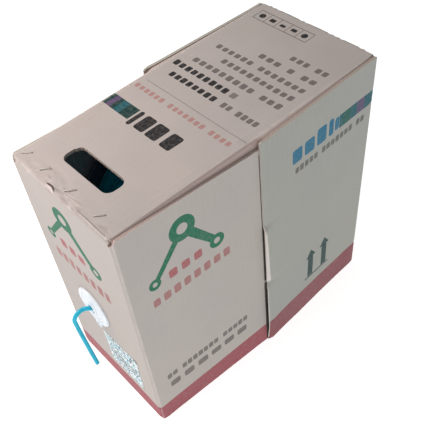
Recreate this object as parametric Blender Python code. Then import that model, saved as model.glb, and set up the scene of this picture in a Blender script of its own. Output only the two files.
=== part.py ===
"""Pull box with a cable spool: a folded corrugated carton that holds a reel of
network cable on a cross axle.  The cable leaves through a round plastic outlet
in the middle of the narrow front panel.

Frame: metres, +Z up.  The origin is the centre of the carton's underside, the
front panel (cable outlet, staples above it) faces -Y, and the axle runs along X.
"""

import math

import bmesh
import bpy
from mathutils import Matrix, Vector

# ---------------------------------------------------------------- dimensions
MM = 0.001

BOX_W = 192.0            # outside, crease to crease, along X
BOX_L = 400.0            # outside, along Y
BOX_H = 385.0            # outside, along Z
BOARD = 4.0              # corrugated board thickness
GAP = 0.3                # clearance between neighbouring pieces

FLANGE_DEPTH = 35.0      # down-turned and up-turned side flanges
TUCK_DEPTH = 28.7        # front panel's folded-in top flap
BULGE_TOP = 6.7          # how far the side panels stand out at the middle seam
BULGE_BOTTOM = 12.3
SEAM_Y = -2.3            # front edge of the outer (rear) side flaps
LAP_Y = 40.0             # rear edge of the inner (front) side flaps
FRONT_FLAP_TOP = (383.5, 373.0)   # top edge height at the corner and at the seam
REAR_FLAP_TOP = (384.0, 384.7)

HAND_HOLE_CENTRE = (-2.4, -149.5)
HAND_HOLE_SIZE = (86.8, 28.0)
HAND_HOLE_CORNER_R = 10.0

STAPLE_X = (-80.5, -42.5, 5.8, 58.0)
STAPLE_Y = -185.0
STAPLE_ANGLE = 50.0      # degrees from +X
STAPLE_CROWN = 13.0
STAPLE_WIRE = (0.7, 1.3)          # thickness, width
STAPLE_TIP_Z = 375.4

OUTLET_X, OUTLET_Z = -8.0, 174.0
OUTLET_R = 31.0
OUTLET_HOLE_R = 22.0     # hole in the front panel
OUTLET_BORE_R = 6.6
OUTLET_SLEEVE = 12.0      # how far the sleeve reaches in past the front's face
TAB_WIDTH = 14.0
TAB_DROP = 13.0

AXLE_Z = 192.5
AXLE_R = 16.0
AXLE_BORE_R = 13.0
AXLE_HALF = 82.8
JOURNAL_R = 17.7
LINER_HOLE_R = 18.0
LINER_X = 83.4
LINER_Y = 188.0
LINER_TOP = 372.0

TRAVERSE_HALF = 72.0     # half the width of the winding
CORE_R, CORE_BORE_R = 33.0, 30.0
WINDING_R = 153.0
SPOOL_FLANGE_R = 170.0
SPOOL_FLANGE_T = 5.0
BUSH_BORE_R = 16.35

CABLE_D = 6.0
CABLE_RISE = 40.0        # degrees above level at which the cable crosses the nozzle
CABLE_RUN = 7.7          # straight out of the nozzle
CABLE_BEND_R = 12.0
CABLE_TUCK = 0.0         # degrees past straight down
CABLE_HANG = 76.0
CABLE_DRIFT = 22.6       # sideways over the hanging length
EXIT_Y = -206.4
SEGMENTS = 64

HALF_W, HALF_L = BOX_W / 2, BOX_L / 2
INNER_Y = HALF_L - BOARD
LID_HALF = HALF_W - BOARD - GAP
LID_UNDER = BOX_H - BOARD


# ---------------------------------------------------------------- scene set-up
for old in list(bpy.data.objects):
    bpy.data.objects.remove(old, do_unlink=True)

collection = bpy.context.scene.collection


def empty(name, location, parent=None):
    e = bpy.data.objects.new(name, None)
    e.empty_display_size = 0.03
    collection.objects.link(e)
    e.parent = parent
    e.location = Vector(location) * MM - (parent.location if parent else Vector())
    return e


BOX = empty("spool_box", (0, 0, 0))
LID_AXIS = empty("lid_crease_axis", (0, INNER_Y, BOX_H), BOX)
SPOOL_AXIS = empty("spool_axis", (0, 0, AXLE_Z), BOX)


def material(name, colour, roughness, metallic=0.0):
    m = bpy.data.materials.new(name)
    m.use_nodes = True
    p = m.node_tree.nodes["Principled BSDF"]
    p.inputs["Base Color"].default_value = (*colour, 1.0)
    p.inputs["Roughness"].default_value = roughness
    p.inputs["Metallic"].default_value = metallic
    m.diffuse_color = (*colour, 1.0)
    return m


LINED_BOARD = ((0.50, 0.44, 0.40), 0.85)
RAW_BOARD = ((0.42, 0.30, 0.19), 0.90)
WHITE_PLASTIC = ((0.82, 0.88, 0.90), 0.35)
BLACK_PLASTIC = ((0.03, 0.03, 0.035), 0.45)
HARDBOARD = ((0.30, 0.19, 0.11), 0.75)
JACKET = ((0.03, 0.42, 0.56), 0.40)
STEEL = ((0.60, 0.58, 0.55), 0.35, 1.0)


def finish(name, bm, parent, look, smooth=False):
    """Turns a bmesh in millimetres and box coordinates into a named object."""
    origin = world_of(parent)
    bmesh.ops.remove_doubles(bm, verts=bm.verts, dist=1e-5)
    bmesh.ops.recalc_face_normals(bm, faces=bm.faces)
    bmesh.ops.scale(bm, vec=(MM, MM, MM), verts=bm.verts)
    bmesh.ops.translate(bm, vec=-origin, verts=bm.verts)
    mesh = bpy.data.meshes.new(name)
    bm.to_mesh(mesh)
    bm.free()
    obj = bpy.data.objects.new(name, mesh)
    collection.objects.link(obj)
    obj.parent = parent
    mesh.materials.append(material(name, *look))
    if smooth:
        mesh.shade_smooth()
        mesh.set_sharp_from_angle(angle=math.radians(35))
    return obj


def world_of(parent):
    place = Vector()
    while parent is not None:
        place += parent.location
        parent = parent.parent
    return place


# ---------------------------------------------------------------- shape makers
def box_bm(x, y, z):
    bm = bmesh.new()
    bmesh.ops.create_cube(bm, size=1.0)
    bmesh.ops.scale(bm, vec=(x[1] - x[0], y[1] - y[0], z[1] - z[0]), verts=bm.verts)
    bmesh.ops.translate(
        bm,
        vec=((x[0] + x[1]) / 2, (y[0] + y[1]) / 2, (z[0] + z[1]) / 2),
        verts=bm.verts,
    )
    return bm


def prism_bm(outline, axis, low, high):
    """Extrudes a closed outline of 2-D points along X, Y or Z."""
    place = {
        "X": lambda a, b, c: (c, a, b),
        "Y": lambda a, b, c: (a, c, b),
        "Z": lambda a, b, c: (a, b, c),
    }[axis]
    bm = bmesh.new()
    face = bm.faces.new([bm.verts.new(place(a, b, low)) for a, b in outline])
    grown = bmesh.ops.extrude_face_region(bm, geom=[face])
    moved = [g for g in grown["geom"] if isinstance(g, bmesh.types.BMVert)]
    shift = Vector(place(0, 0, high)) - Vector(place(0, 0, low))
    bmesh.ops.translate(bm, vec=shift, verts=moved)
    return bm


def turned_bm(profile, axis, centre, closed=True, segments=SEGMENTS):
    """Spins (radius, along) points about an axis through centre.

    A closed profile is a ring's cross-section; an open one starts and ends on
    the axis.
    """
    bm = bmesh.new()
    if axis == "X":
        verts = [bm.verts.new((a, 0, r)) for r, a in profile]
        direction = (1, 0, 0)
    else:
        verts = [bm.verts.new((r, a, 0)) for r, a in profile]
        direction = (0, 1, 0)
    pairs = list(zip(verts, verts[1:] + verts[:1])) if closed else list(zip(verts, verts[1:]))
    edges = [bm.edges.new(p) for p in pairs]
    bmesh.ops.spin(
        bm,
        geom=verts + edges,
        cent=(0, 0, 0),
        axis=direction,
        angle=2 * math.pi,
        steps=segments,
        use_merge=True,
    )
    bmesh.ops.remove_doubles(bm, verts=bm.verts, dist=1e-4)
    bmesh.ops.translate(bm, vec=centre, verts=bm.verts)
    return bm


def cutter(name, bm):
    obj = finish(name, bm, BOX, ((0.8, 0.1, 0.1), 0.5))
    obj.hide_render = True
    obj.display_type = "WIRE"
    return obj


def cut(obj, tool, operation="DIFFERENCE"):
    mod = obj.modifiers.new(tool.name, "BOOLEAN")
    mod.operation = operation
    mod.solver = "EXACT"
    mod.object = tool
    return mod


def join_bms(parts):
    """Puts several separate shapes into one bmesh, for a cutter."""
    whole = bmesh.new()
    for part in parts:
        mesh = bpy.data.meshes.new("part")
        part.to_mesh(mesh)
        part.free()
        whole.from_mesh(mesh)
        bpy.data.meshes.remove(mesh)
    return whole


# ---------------------------------------------------------------- carton panels
front_panel = finish(
    "front_panel",
    box_bm((-HALF_W, HALF_W), (-HALF_L, -INNER_Y), (0, LID_UNDER - GAP)),
    BOX,
    LINED_BOARD,
)
outlet_cut = turned_bm(
    [(0, -HALF_L - 5), (OUTLET_HOLE_R, -HALF_L - 5), (OUTLET_HOLE_R, -INNER_Y + 5), (0, -INNER_Y + 5)],
    "Y",
    (OUTLET_X, 0, OUTLET_Z),
    closed=False,
    segments=48,
)
cut(front_panel, cutter("outlet_hole_cutter", outlet_cut))

rear_panel = finish(
    "rear_panel",
    box_bm((-HALF_W, HALF_W), (INNER_Y, HALF_L), (0, BOX_H)),
    BOX,
    LINED_BOARD,
)
bottom_panel = finish(
    "bottom_panel",
    box_bm((-LID_HALF, LID_HALF), (-INNER_Y + GAP, INNER_Y - GAP), (0, BOARD)),
    BOX,
    LINED_BOARD,
)
front_tuck_flap = finish(
    "front_tuck_flap",
    box_bm(
        (-LID_HALF + BOARD + GAP, LID_HALF - BOARD - GAP),
        (-INNER_Y + GAP, -INNER_Y + GAP + TUCK_DEPTH),
        (LID_UNDER - GAP - BOARD, LID_UNDER - GAP),
    ),
    BOX,
    LINED_BOARD,
)
top_panel = finish(
    "top_panel",
    box_bm((-LID_HALF, LID_HALF), (-HALF_L, INNER_Y - GAP), (LID_UNDER, BOX_H)),
    LID_AXIS,
    LINED_BOARD,
)


def rounded_slot(centre, size, r, steps=6):
    """A slot outline with well-rounded corners, long axis along X."""
    points = []
    for sx, sy, start in ((1, 1, 0), (-1, 1, 90), (-1, -1, 180), (1, -1, 270)):
        cx = centre[0] + sx * (size[0] / 2 - r)
        cy = centre[1] + sy * (size[1] / 2 - r)
        for i in range(steps + 1):
            a = math.radians(start + 90 * i / steps)
            points.append((cx + r * math.cos(a), cy + r * math.sin(a)))
    return points


hand_hole = prism_bm(
    rounded_slot(HAND_HOLE_CENTRE, HAND_HOLE_SIZE, HAND_HOLE_CORNER_R), "Z", LID_UNDER - 6, BOX_H + 6
)
cut(top_panel, cutter("hand_hole_cutter", hand_hole))

for side, sign in (("left", -1), ("right", 1)):
    x = sorted((sign * (LID_HALF - BOARD), sign * LID_HALF))
    # A tapered strip: its ends are cut back so that it tucks in easily.
    y0, y1 = -INNER_Y + GAP, INNER_Y - 6.0
    z0, z1 = LID_UNDER - GAP - FLANGE_DEPTH, LID_UNDER - GAP
    finish(
        "top_flange_" + side,
        prism_bm([(y0, z1), (y0, z1 - 6), (y0 + 12, z0), (y1 - 14, z0), (y1, z1 - 6), (y1, z1)], "X", *x),
        LID_AXIS,
        LINED_BOARD,
    )
    b0, b1 = BOARD + GAP, BOARD + GAP + FLANGE_DEPTH
    finish(
        "bottom_flange_" + side,
        prism_bm([(-190, b0), (190, b0), (190, b0 + 6), (178, b1), (-178, b1), (-190, b0 + 6)], "X", *x),
        BOX,
        LINED_BOARD,
    )


# Side flaps.  The rear flap lies outside the front one, and both stand out
# towards the seam, more at the bottom than at the top.
def bulge(z):
    return BULGE_BOTTOM + (BULGE_TOP - BULGE_BOTTOM) * z / BOX_H


def rear_inner_x(y, z):
    return HALF_W - BOARD + bulge(z) * (1 - y / INNER_Y)


def rear_flap_x(y, z):
    """Inside and outside of the outer flap."""
    inner = rear_inner_x(y, z)
    return inner, inner + BOARD


def front_flap_x(y, z):
    """Inside and outside of the inner flap, which follows the outer one past the seam."""
    lift = bulge(z) - BOARD - 0.4
    if y <= 0:
        outer = HALF_W + lift * (1 + y / INNER_Y)
    else:
        outer = rear_inner_x(y, z) - 0.4
    return outer - BOARD, outer


def flap_bm(sign, x_of, ys, tops, bottom, levels):
    """A closed board whose inside and outside faces follow x_of(y, z)."""
    bm = bmesh.new()
    skins = []
    for which in (0, 1):
        skins.append(
            [
                [
                    bm.verts.new((sign * x_of(y, bottom + (top - bottom) * k / levels)[which], y,
                                  bottom + (top - bottom) * k / levels))
                    for k in range(levels + 1)
                ]
                for y, top in zip(ys, tops)
            ]
        )
    inner, outer = skins
    n, m = len(ys), levels + 1
    for skin in skins:
        for i in range(n - 1):
            for k in range(m - 1):
                bm.faces.new((skin[i][k], skin[i + 1][k], skin[i + 1][k + 1], skin[i][k + 1]))
    for i in range(n - 1):
        for k in (0, m - 1):
            bm.faces.new((inner[i][k], inner[i + 1][k], outer[i + 1][k], outer[i][k]))
    for k in range(m - 1):
        for i in (0, n - 1):
            bm.faces.new((inner[i][k], inner[i][k + 1], outer[i][k + 1], outer[i][k]))
    return bm


FRONT_YS = [-INNER_Y + GAP, -130.0, -65.0, -20.0, 0.0, LAP_Y]
REAR_YS = [SEAM_Y, 45.0, 95.0, 145.0, INNER_Y - GAP]
for side, sign in (("left", -1), ("right", 1)):
    tops = [
        FRONT_FLAP_TOP[0] + (FRONT_FLAP_TOP[1] - FRONT_FLAP_TOP[0]) * (y + INNER_Y) / INNER_Y
        for y in FRONT_YS
    ]
    finish("front_flap_" + side, flap_bm(sign, front_flap_x, FRONT_YS, tops, 0.0, 4), BOX, LINED_BOARD)
    tops = [
        REAR_FLAP_TOP[1] + (REAR_FLAP_TOP[0] - REAR_FLAP_TOP[1]) * (y - SEAM_Y) / (INNER_Y - SEAM_Y)
        for y in REAR_YS
    ]
    finish("rear_flap_" + side, flap_bm(sign, rear_flap_x, REAR_YS, tops, 0.0, 4), BOX, LINED_BOARD)


# ---------------------------------------------------------------- staples
def staple_bm(x):
    """A flat-wire staple: its crown lies on the lid, its legs go down through it."""
    t, w = STAPLE_WIRE
    half = STAPLE_CROWN / 2
    low, under = STAPLE_TIP_Z, BOX_H + GAP
    top = under + t
    outline = [
        (-half, low), (-half, top - 0.35), (-half + 0.35, top), (half - 0.35, top), (half, top - 0.35),
        (half, low), (half - t, low), (half - t, under), (-half + t, under), (-half + t, low),
    ]
    bm = prism_bm(outline, "Y", -w / 2, w / 2)
    turn = Matrix.Rotation(math.radians(STAPLE_ANGLE), 4, "Z")
    bmesh.ops.transform(bm, matrix=Matrix.Translation((x, STAPLE_Y, 0)) @ turn, verts=bm.verts)
    return bm


def leg_hole_bms(x, low, high):
    t, w = STAPLE_WIRE
    half = STAPLE_CROWN / 2
    holes = []
    for end in (-1, 1):
        near, far = sorted((end * (half + GAP), end * (half - t - GAP)))
        bm = box_bm((near, far), (-w / 2 - GAP, w / 2 + GAP), (low, high))
        turn = Matrix.Rotation(math.radians(STAPLE_ANGLE), 4, "Z")
        bmesh.ops.transform(bm, matrix=Matrix.Translation((x, STAPLE_Y, 0)) @ turn, verts=bm.verts)
        holes.append(bm)
    return holes


leg_holes = []
for number, x in enumerate(STAPLE_X, 1):
    finish("staple_%d" % number, staple_bm(x), LID_AXIS, STEEL)
    leg_holes += leg_hole_bms(x, LID_UNDER - 12, BOX_H + 5)
leg_cutter = cutter("staple_leg_cutter", join_bms(leg_holes))
cut(top_panel, leg_cutter)
cut(front_tuck_flap, leg_cutter)


# ---------------------------------------------------------------- cable outlet
FACE = -HALF_L
bezel_profile = [
    (OUTLET_R, FACE - GAP), (OUTLET_R, FACE - 2.3), (OUTLET_R - 1.2, FACE - 3.3),
    (13.4, FACE - 4.2), (11.0, FACE - 6.0), (8.0, FACE - 6.0),
    (OUTLET_BORE_R, FACE - 5.0), (OUTLET_BORE_R, FACE - 1.6), (9.0, FACE - 0.6),
    (18.2, FACE - 0.6), (18.2, FACE + OUTLET_SLEEVE), (OUTLET_HOLE_R - 0.4, FACE + OUTLET_SLEEVE),
    (OUTLET_HOLE_R - 0.4, FACE - GAP),
]
outlet_bezel = finish(
    "outlet_bezel",
    turned_bm(bezel_profile, "Y", (OUTLET_X, 0, OUTLET_Z), segments=56),
    BOX,
    WHITE_PLASTIC,
    smooth=True,
)


def tab_outline():
    """Rounded lug that hangs below the rim, where a cable end can be parked."""
    r = TAB_WIDTH / 2
    centre = OUTLET_Z - OUTLET_R - TAB_DROP + r
    points = [(OUTLET_X + r, OUTLET_Z - OUTLET_R + 4)]
    for i in range(17):
        a = -math.pi * i / 16
        points.append((OUTLET_X + r * math.cos(a), centre + r * math.sin(a)))
    points.append((OUTLET_X - r, OUTLET_Z - OUTLET_R + 4))
    return points


tab = cutter("outlet_tab_shape", prism_bm(tab_outline(), "Y", FACE - 2.6, FACE - GAP))
cut(outlet_bezel, tab, "UNION")
tab_hole = turned_bm(
    [(0, FACE - 8), (3.4, FACE - 8), (3.4, FACE + 4), (0, FACE + 4)],
    "Y",
    (OUTLET_X, 0, OUTLET_Z - OUTLET_R - TAB_DROP + TAB_WIDTH / 2),
    closed=False,
    segments=20,
)
cut(outlet_bezel, cutter("outlet_tab_hole_cutter", tab_hole))

finish(
    "outlet_lock_ring",
    turned_bm(
        [
            (OUTLET_HOLE_R + 0.1, -INNER_Y + GAP), (OUTLET_HOLE_R + 7.0, -INNER_Y + GAP),
            (OUTLET_HOLE_R + 7.0, -INNER_Y + 2.6), (OUTLET_HOLE_R + 5.6, -INNER_Y + 3.8),
            (OUTLET_HOLE_R + 0.1, -INNER_Y + 3.8),
        ],
        "Y",
        (OUTLET_X, 0, OUTLET_Z),
        segments=48,
    ),
    BOX,
    WHITE_PLASTIC,
    smooth=True,
)


# ---------------------------------------------------------------- inner supports and axle
for side, sign in (("left", -1), ("right", 1)):
    liner = finish(
        "liner_board_" + side,
        box_bm(
            sorted((sign * LINER_X, sign * (LINER_X + BOARD))),
            (-LINER_Y, LINER_Y),
            (BOARD + GAP, LINER_TOP),
        ),
        BOX,
        RAW_BOARD,
    )
    hole = turned_bm(
        [(0, sign * LINER_X - 6), (LINER_HOLE_R, sign * LINER_X - 6),
         (LINER_HOLE_R, sign * LINER_X + 6), (0, sign * LINER_X + 6)],
        "X",
        (0, 0, AXLE_Z),
        closed=False,
        segments=40,
    )
    cut(liner, cutter("axle_hole_cutter_" + side, hole))
    shoulder = AXLE_HALF + GAP
    outer = LINER_X + BOARD + GAP
    profile = [
        (0, 66.0), (12.1, 66.0), (12.7, 67.0), (12.7, shoulder), (JOURNAL_R, shoulder),
        (JOURNAL_R, outer), (28.0, outer), (28.0, outer + 2.2), (27.2, outer + 3.0), (0, outer + 3.0),
    ]
    finish(
        "axle_cap_" + side,
        turned_bm([(r, sign * a) for r, a in profile], "X", (0, 0, AXLE_Z), closed=False, segments=40),
        BOX,
        BLACK_PLASTIC,
        smooth=True,
    )

finish(
    "axle_tube",
    turned_bm(
        [(AXLE_R, -AXLE_HALF), (AXLE_R, AXLE_HALF), (AXLE_BORE_R, AXLE_HALF), (AXLE_BORE_R, -AXLE_HALF)],
        "X",
        (0, 0, AXLE_Z),
        segments=40,
    ),
    BOX,
    RAW_BOARD,
    smooth=True,
)

# ---------------------------------------------------------------- spool
for side, sign in (("left", -1), ("right", 1)):
    a0, a1 = TRAVERSE_HALF + GAP, TRAVERSE_HALF + GAP + SPOOL_FLANGE_T
    flange = [
        (CORE_BORE_R, sign * a0), (SPOOL_FLANGE_R - 0.8, sign * a0), (SPOOL_FLANGE_R, sign * (a0 + 0.8)),
        (SPOOL_FLANGE_R, sign * (a1 - 0.8)), (SPOOL_FLANGE_R - 0.8, sign * a1), (CORE_BORE_R, sign * a1),
    ]
    finish(
        "spool_flange_" + side,
        turned_bm(flange, "X", (0, 0, AXLE_Z)),
        SPOOL_AXIS,
        HARDBOARD,
        smooth=True,
    )
    rim = a1 + GAP
    bush = [
        (BUSH_BORE_R, sign * (rim + 3.0)), (41.0, sign * (rim + 3.0)), (42.0, sign * (rim + 2.0)),
        (42.0, sign * rim), (CORE_BORE_R - GAP, sign * rim), (CORE_BORE_R - GAP, sign * (rim - 32.0)),
        (CORE_BORE_R - 2.0, sign * (rim - 34.0)), (BUSH_BORE_R, sign * (rim - 34.0)),
    ]
    finish(
        "hub_bush_" + side,
        turned_bm(bush, "X", (0, 0, AXLE_Z), segments=48),
        SPOOL_AXIS,
        BLACK_PLASTIC,
        smooth=True,
    )

finish(
    "spool_core_tube",
    turned_bm(
        [(CORE_R, -TRAVERSE_HALF), (CORE_R, TRAVERSE_HALF), (CORE_BORE_R, TRAVERSE_HALF), (CORE_BORE_R, -TRAVERSE_HALF)],
        "X",
        (0, 0, AXLE_Z),
        segments=48,
    ),
    SPOOL_AXIS,
    RAW_BOARD,
    smooth=True,
)
finish(
    "cable_winding",
    turned_bm(
        [
            (CORE_R + GAP, -TRAVERSE_HALF), (WINDING_R - 2.0, -TRAVERSE_HALF), (WINDING_R, -TRAVERSE_HALF + 2.0),
            (WINDING_R, TRAVERSE_HALF - 2.0), (WINDING_R - 2.0, TRAVERSE_HALF), (CORE_R + GAP, TRAVERSE_HALF),
        ],
        "X",
        (0, 0, AXLE_Z),
    ),
    SPOOL_AXIS,
    JACKET,
    smooth=True,
)


# ---------------------------------------------------------------- cable
def smooth_route(knots, spacing):
    """Points along a centripetal Catmull-Rom curve through the knots."""
    knots = [Vector(k) for k in knots]
    pts = [knots[0] * 2 - knots[1]] + knots + [knots[-1] * 2 - knots[-2]]
    fine = []
    for i in range(1, len(pts) - 2):
        p0, p1, p2, p3 = pts[i - 1 : i + 3]
        t0 = 0.0
        t1 = t0 + (p1 - p0).length ** 0.5
        t2 = t1 + (p2 - p1).length ** 0.5
        t3 = t2 + (p3 - p2).length ** 0.5
        for k in range(40):
            t = t1 + (t2 - t1) * k / 40
            a1 = p0 * ((t1 - t) / (t1 - t0)) + p1 * ((t - t0) / (t1 - t0))
            a2 = p1 * ((t2 - t) / (t2 - t1)) + p2 * ((t - t1) / (t2 - t1))
            a3 = p2 * ((t3 - t) / (t3 - t2)) + p3 * ((t - t2) / (t3 - t2))
            b1 = a1 * ((t2 - t) / (t2 - t0)) + a2 * ((t - t0) / (t2 - t0))
            b2 = a2 * ((t3 - t) / (t3 - t1)) + a3 * ((t - t1) / (t3 - t1))
            fine.append(b1 * ((t2 - t) / (t2 - t1)) + b2 * ((t - t1) / (t2 - t1)))
    fine.append(knots[-1])
    total = sum((b - a).length for a, b in zip(fine, fine[1:]))
    count = max(8, round(total / spacing))
    out, walked, target = [fine[0]], 0.0, total / count
    for a, b in zip(fine, fine[1:]):
        step = (b - a).length
        while walked + step >= target - 1e-9 and len(out) < count:
            out.append(a.lerp(b, (target - walked) / step))
            target += total / count
        walked += step
    out.append(fine[-1])
    return out


def cable_tube(name, knots, spacing, resolution=3):
    points = smooth_route(knots, spacing)
    curve = bpy.data.curves.new(name, "CURVE")
    curve.dimensions = "3D"
    curve.bevel_depth = CABLE_D / 2 * MM
    curve.bevel_resolution = resolution
    curve.use_fill_caps = True
    spline = curve.splines.new("POLY")
    spline.points.add(len(points) - 1)
    for slot, p in zip(spline.points, points):
        slot.co = (*(p * MM), 1.0)
    obj = bpy.data.objects.new(name, curve)
    collection.objects.link(obj)
    obj.parent = BOX
    curve.materials.append(material(name, *JACKET))
    return obj


# The held stretch leaves the underside of the winding's front as a tangent and
# crosses the nozzle rising, a little off its straight line.
run_r = WINDING_R + CABLE_D / 2 + 0.4
rise = math.radians(CABLE_RISE)
nozzle = Vector((OUTLET_X, FACE - 3.4, OUTLET_Z))
outward = Vector((0.0, -math.cos(rise), math.sin(rise)))
mouth = nozzle - outward * 17.5
back = math.hypot(mouth.y, mouth.z - AXLE_Z)
lean = math.atan2(AXLE_Z - mouth.z, -mouth.y) + math.acos(run_r / back)
leave = Vector((OUTLET_X, -run_r * math.cos(lean), AXLE_Z - run_r * math.sin(lean)))
cut_at = (EXIT_Y - nozzle.y) / outward.y
cable_tube(
    "cable_lead_inside",
    [
        leave,
        leave.lerp(mouth, 0.35),
        leave.lerp(mouth, 0.70),
        mouth,
        nozzle - outward * 9.0,
        nozzle,
        nozzle + outward * (cut_at - 0.6),
    ],
    9.0,
)


# The free end: straight on from the nozzle, over in one bend, and down to a bare cut.
def free_route():
    knots = []
    turn = rise + math.pi / 2 + math.radians(CABLE_TUCK)
    bend_from, bend_to = CABLE_RUN, CABLE_RUN + CABLE_BEND_R * turn
    total = bend_to + CABLE_HANG
    count = 26
    for i in range(count + 1):
        along = total * i / count
        straight = min(along, bend_from)
        out, up = straight * math.cos(rise), straight * math.sin(rise)
        bent = (min(max(along, bend_from), bend_to) - bend_from) / CABLE_BEND_R
        out += CABLE_BEND_R * (math.sin(rise) - math.sin(rise - bent))
        up += CABLE_BEND_R * (math.cos(rise - bent) - math.cos(rise))
        hung = max(0.0, along - bend_to)
        out += hung * math.cos(rise - turn)
        up += hung * math.sin(rise - turn)
        drift = CABLE_DRIFT * (hung / CABLE_HANG) ** 1.25
        start = nozzle + outward * cut_at
        knots.append((start.x + drift, start.y - out, start.z + up))
    return knots


cable_tube("cable_free_end", free_route(), 3.5)
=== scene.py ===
"""Looks for the cable pull box: folded corrugated sheets with their print, the
plastic outlet, the wound spool, the staples and the free cable, all riding on
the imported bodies."""

import math
import random

import bmesh
import bpy
import numpy as np
from mathutils import Matrix, Vector, noise
from mathutils.geometry import delaunay_2d_cdt


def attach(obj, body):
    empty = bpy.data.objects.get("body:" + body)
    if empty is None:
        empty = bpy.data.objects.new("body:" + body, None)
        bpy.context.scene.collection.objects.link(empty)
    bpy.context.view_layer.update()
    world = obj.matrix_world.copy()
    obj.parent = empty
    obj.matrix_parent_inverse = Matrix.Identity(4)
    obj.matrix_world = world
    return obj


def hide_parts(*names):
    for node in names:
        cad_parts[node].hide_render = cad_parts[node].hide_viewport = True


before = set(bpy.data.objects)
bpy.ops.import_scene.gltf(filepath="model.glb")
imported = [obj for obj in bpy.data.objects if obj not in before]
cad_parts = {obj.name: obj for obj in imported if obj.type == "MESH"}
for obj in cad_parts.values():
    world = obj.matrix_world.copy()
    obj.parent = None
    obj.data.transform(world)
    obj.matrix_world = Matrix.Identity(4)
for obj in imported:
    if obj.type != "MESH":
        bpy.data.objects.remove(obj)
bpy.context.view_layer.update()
MM = 0.001

# ------------------------------------------------------------------ camera
# The angles and place come from fitting the box's corners in the photograph.
AZ, EL, ROLL = math.radians(57.2689), math.radians(49.6187), math.radians(-10.4258)
DIST, SIDE, LIFT = 1062.5956, -67.3672, 79.7454
FOCAL, CENTRE = 671.0593, (179.0189, 247.2983)
FRAME_PX = 430.0

back = Vector((math.sin(AZ) * math.cos(EL), -math.cos(AZ) * math.cos(EL), math.sin(EL)))
right = (-back).cross(Vector((0, 0, 1))).normalized()
up = right.cross(-back)
cam_x = math.cos(ROLL) * right + math.sin(ROLL) * up
cam_y = -math.sin(ROLL) * right + math.cos(ROLL) * up
turn = Matrix((cam_x, cam_y, back)).transposed()
camera_data = bpy.data.cameras.new("camera")
camera_data.sensor_fit = "HORIZONTAL"
camera_data.sensor_width = 36.0
camera_data.lens = FOCAL / FRAME_PX * 36.0
camera_data.shift_x = (FRAME_PX / 2 - CENTRE[0]) / FRAME_PX
camera_data.shift_y = (CENTRE[1] - FRAME_PX / 2) / FRAME_PX
camera_data.clip_start, camera_data.clip_end = 0.02, 40.0
camera = bpy.data.objects.new("camera", camera_data)
bpy.context.scene.collection.objects.link(camera)
camera.matrix_world = Matrix.Translation(turn @ Vector((SIDE, LIFT, DIST)) * MM) @ turn.to_4x4()
bpy.context.scene.camera = camera

# ------------------------------------------------------------------ sizes, in millimetres
HALF_W, HALF_L, BOX_H, BOARD = 96.0, 200.0, 385.0, 4.0
INNER_Y = HALF_L - BOARD
SEAM_Y, LAP_Y = -2.3, 40.0
CORNER = 4.4                      # outer radius of the upright creases
FLAT = HALF_W - CORNER            # where the front's flat part ends
SIDE_AT = FLAT + CORNER * math.pi / 2   # developed distance at which the side begins
LID_HALF = 91.7
LID_FOLD = 2.8
LID_FLAT = LID_HALF - LID_FOLD
LID_SIDE = LID_FLAT + LID_FOLD * math.pi / 2
LID_UNDER = BOX_H - BOARD
BOTTOM_FOLD = 4.3
BOTTOM_FLAT = LID_HALF - BOTTOM_FOLD
BOTTOM_SIDE = BOTTOM_FLAT + BOTTOM_FOLD * math.pi / 2
OUTLET_X, OUTLET_Z, OUTLET_HOLE_R = -8.0, 174.0, 22.0
AXLE_Z = 192.5
STAPLE_X = (-80.5, -42.5, 5.8, 58.0)
STAPLE_Y, STAPLE_ANGLE = -185.0, math.radians(50.0)
CABLE_D = 6.0
FLUTE = 7.8                       # pitch of the corrugation


def smooth(edge0, edge1, x):
    t = min(1.0, max(0.0, (x - edge0) / (edge1 - edge0)))
    return t * t * (3 - 2 * t)


def srgb(r, g, b):
    """A colour from 0-255 screen values, as linear light."""
    out = []
    for c in (r, g, b):
        c /= 255.0
        out.append(c / 12.92 if c <= 0.04045 else ((c + 0.055) / 1.055) ** 2.4)
    return tuple(out)


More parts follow.
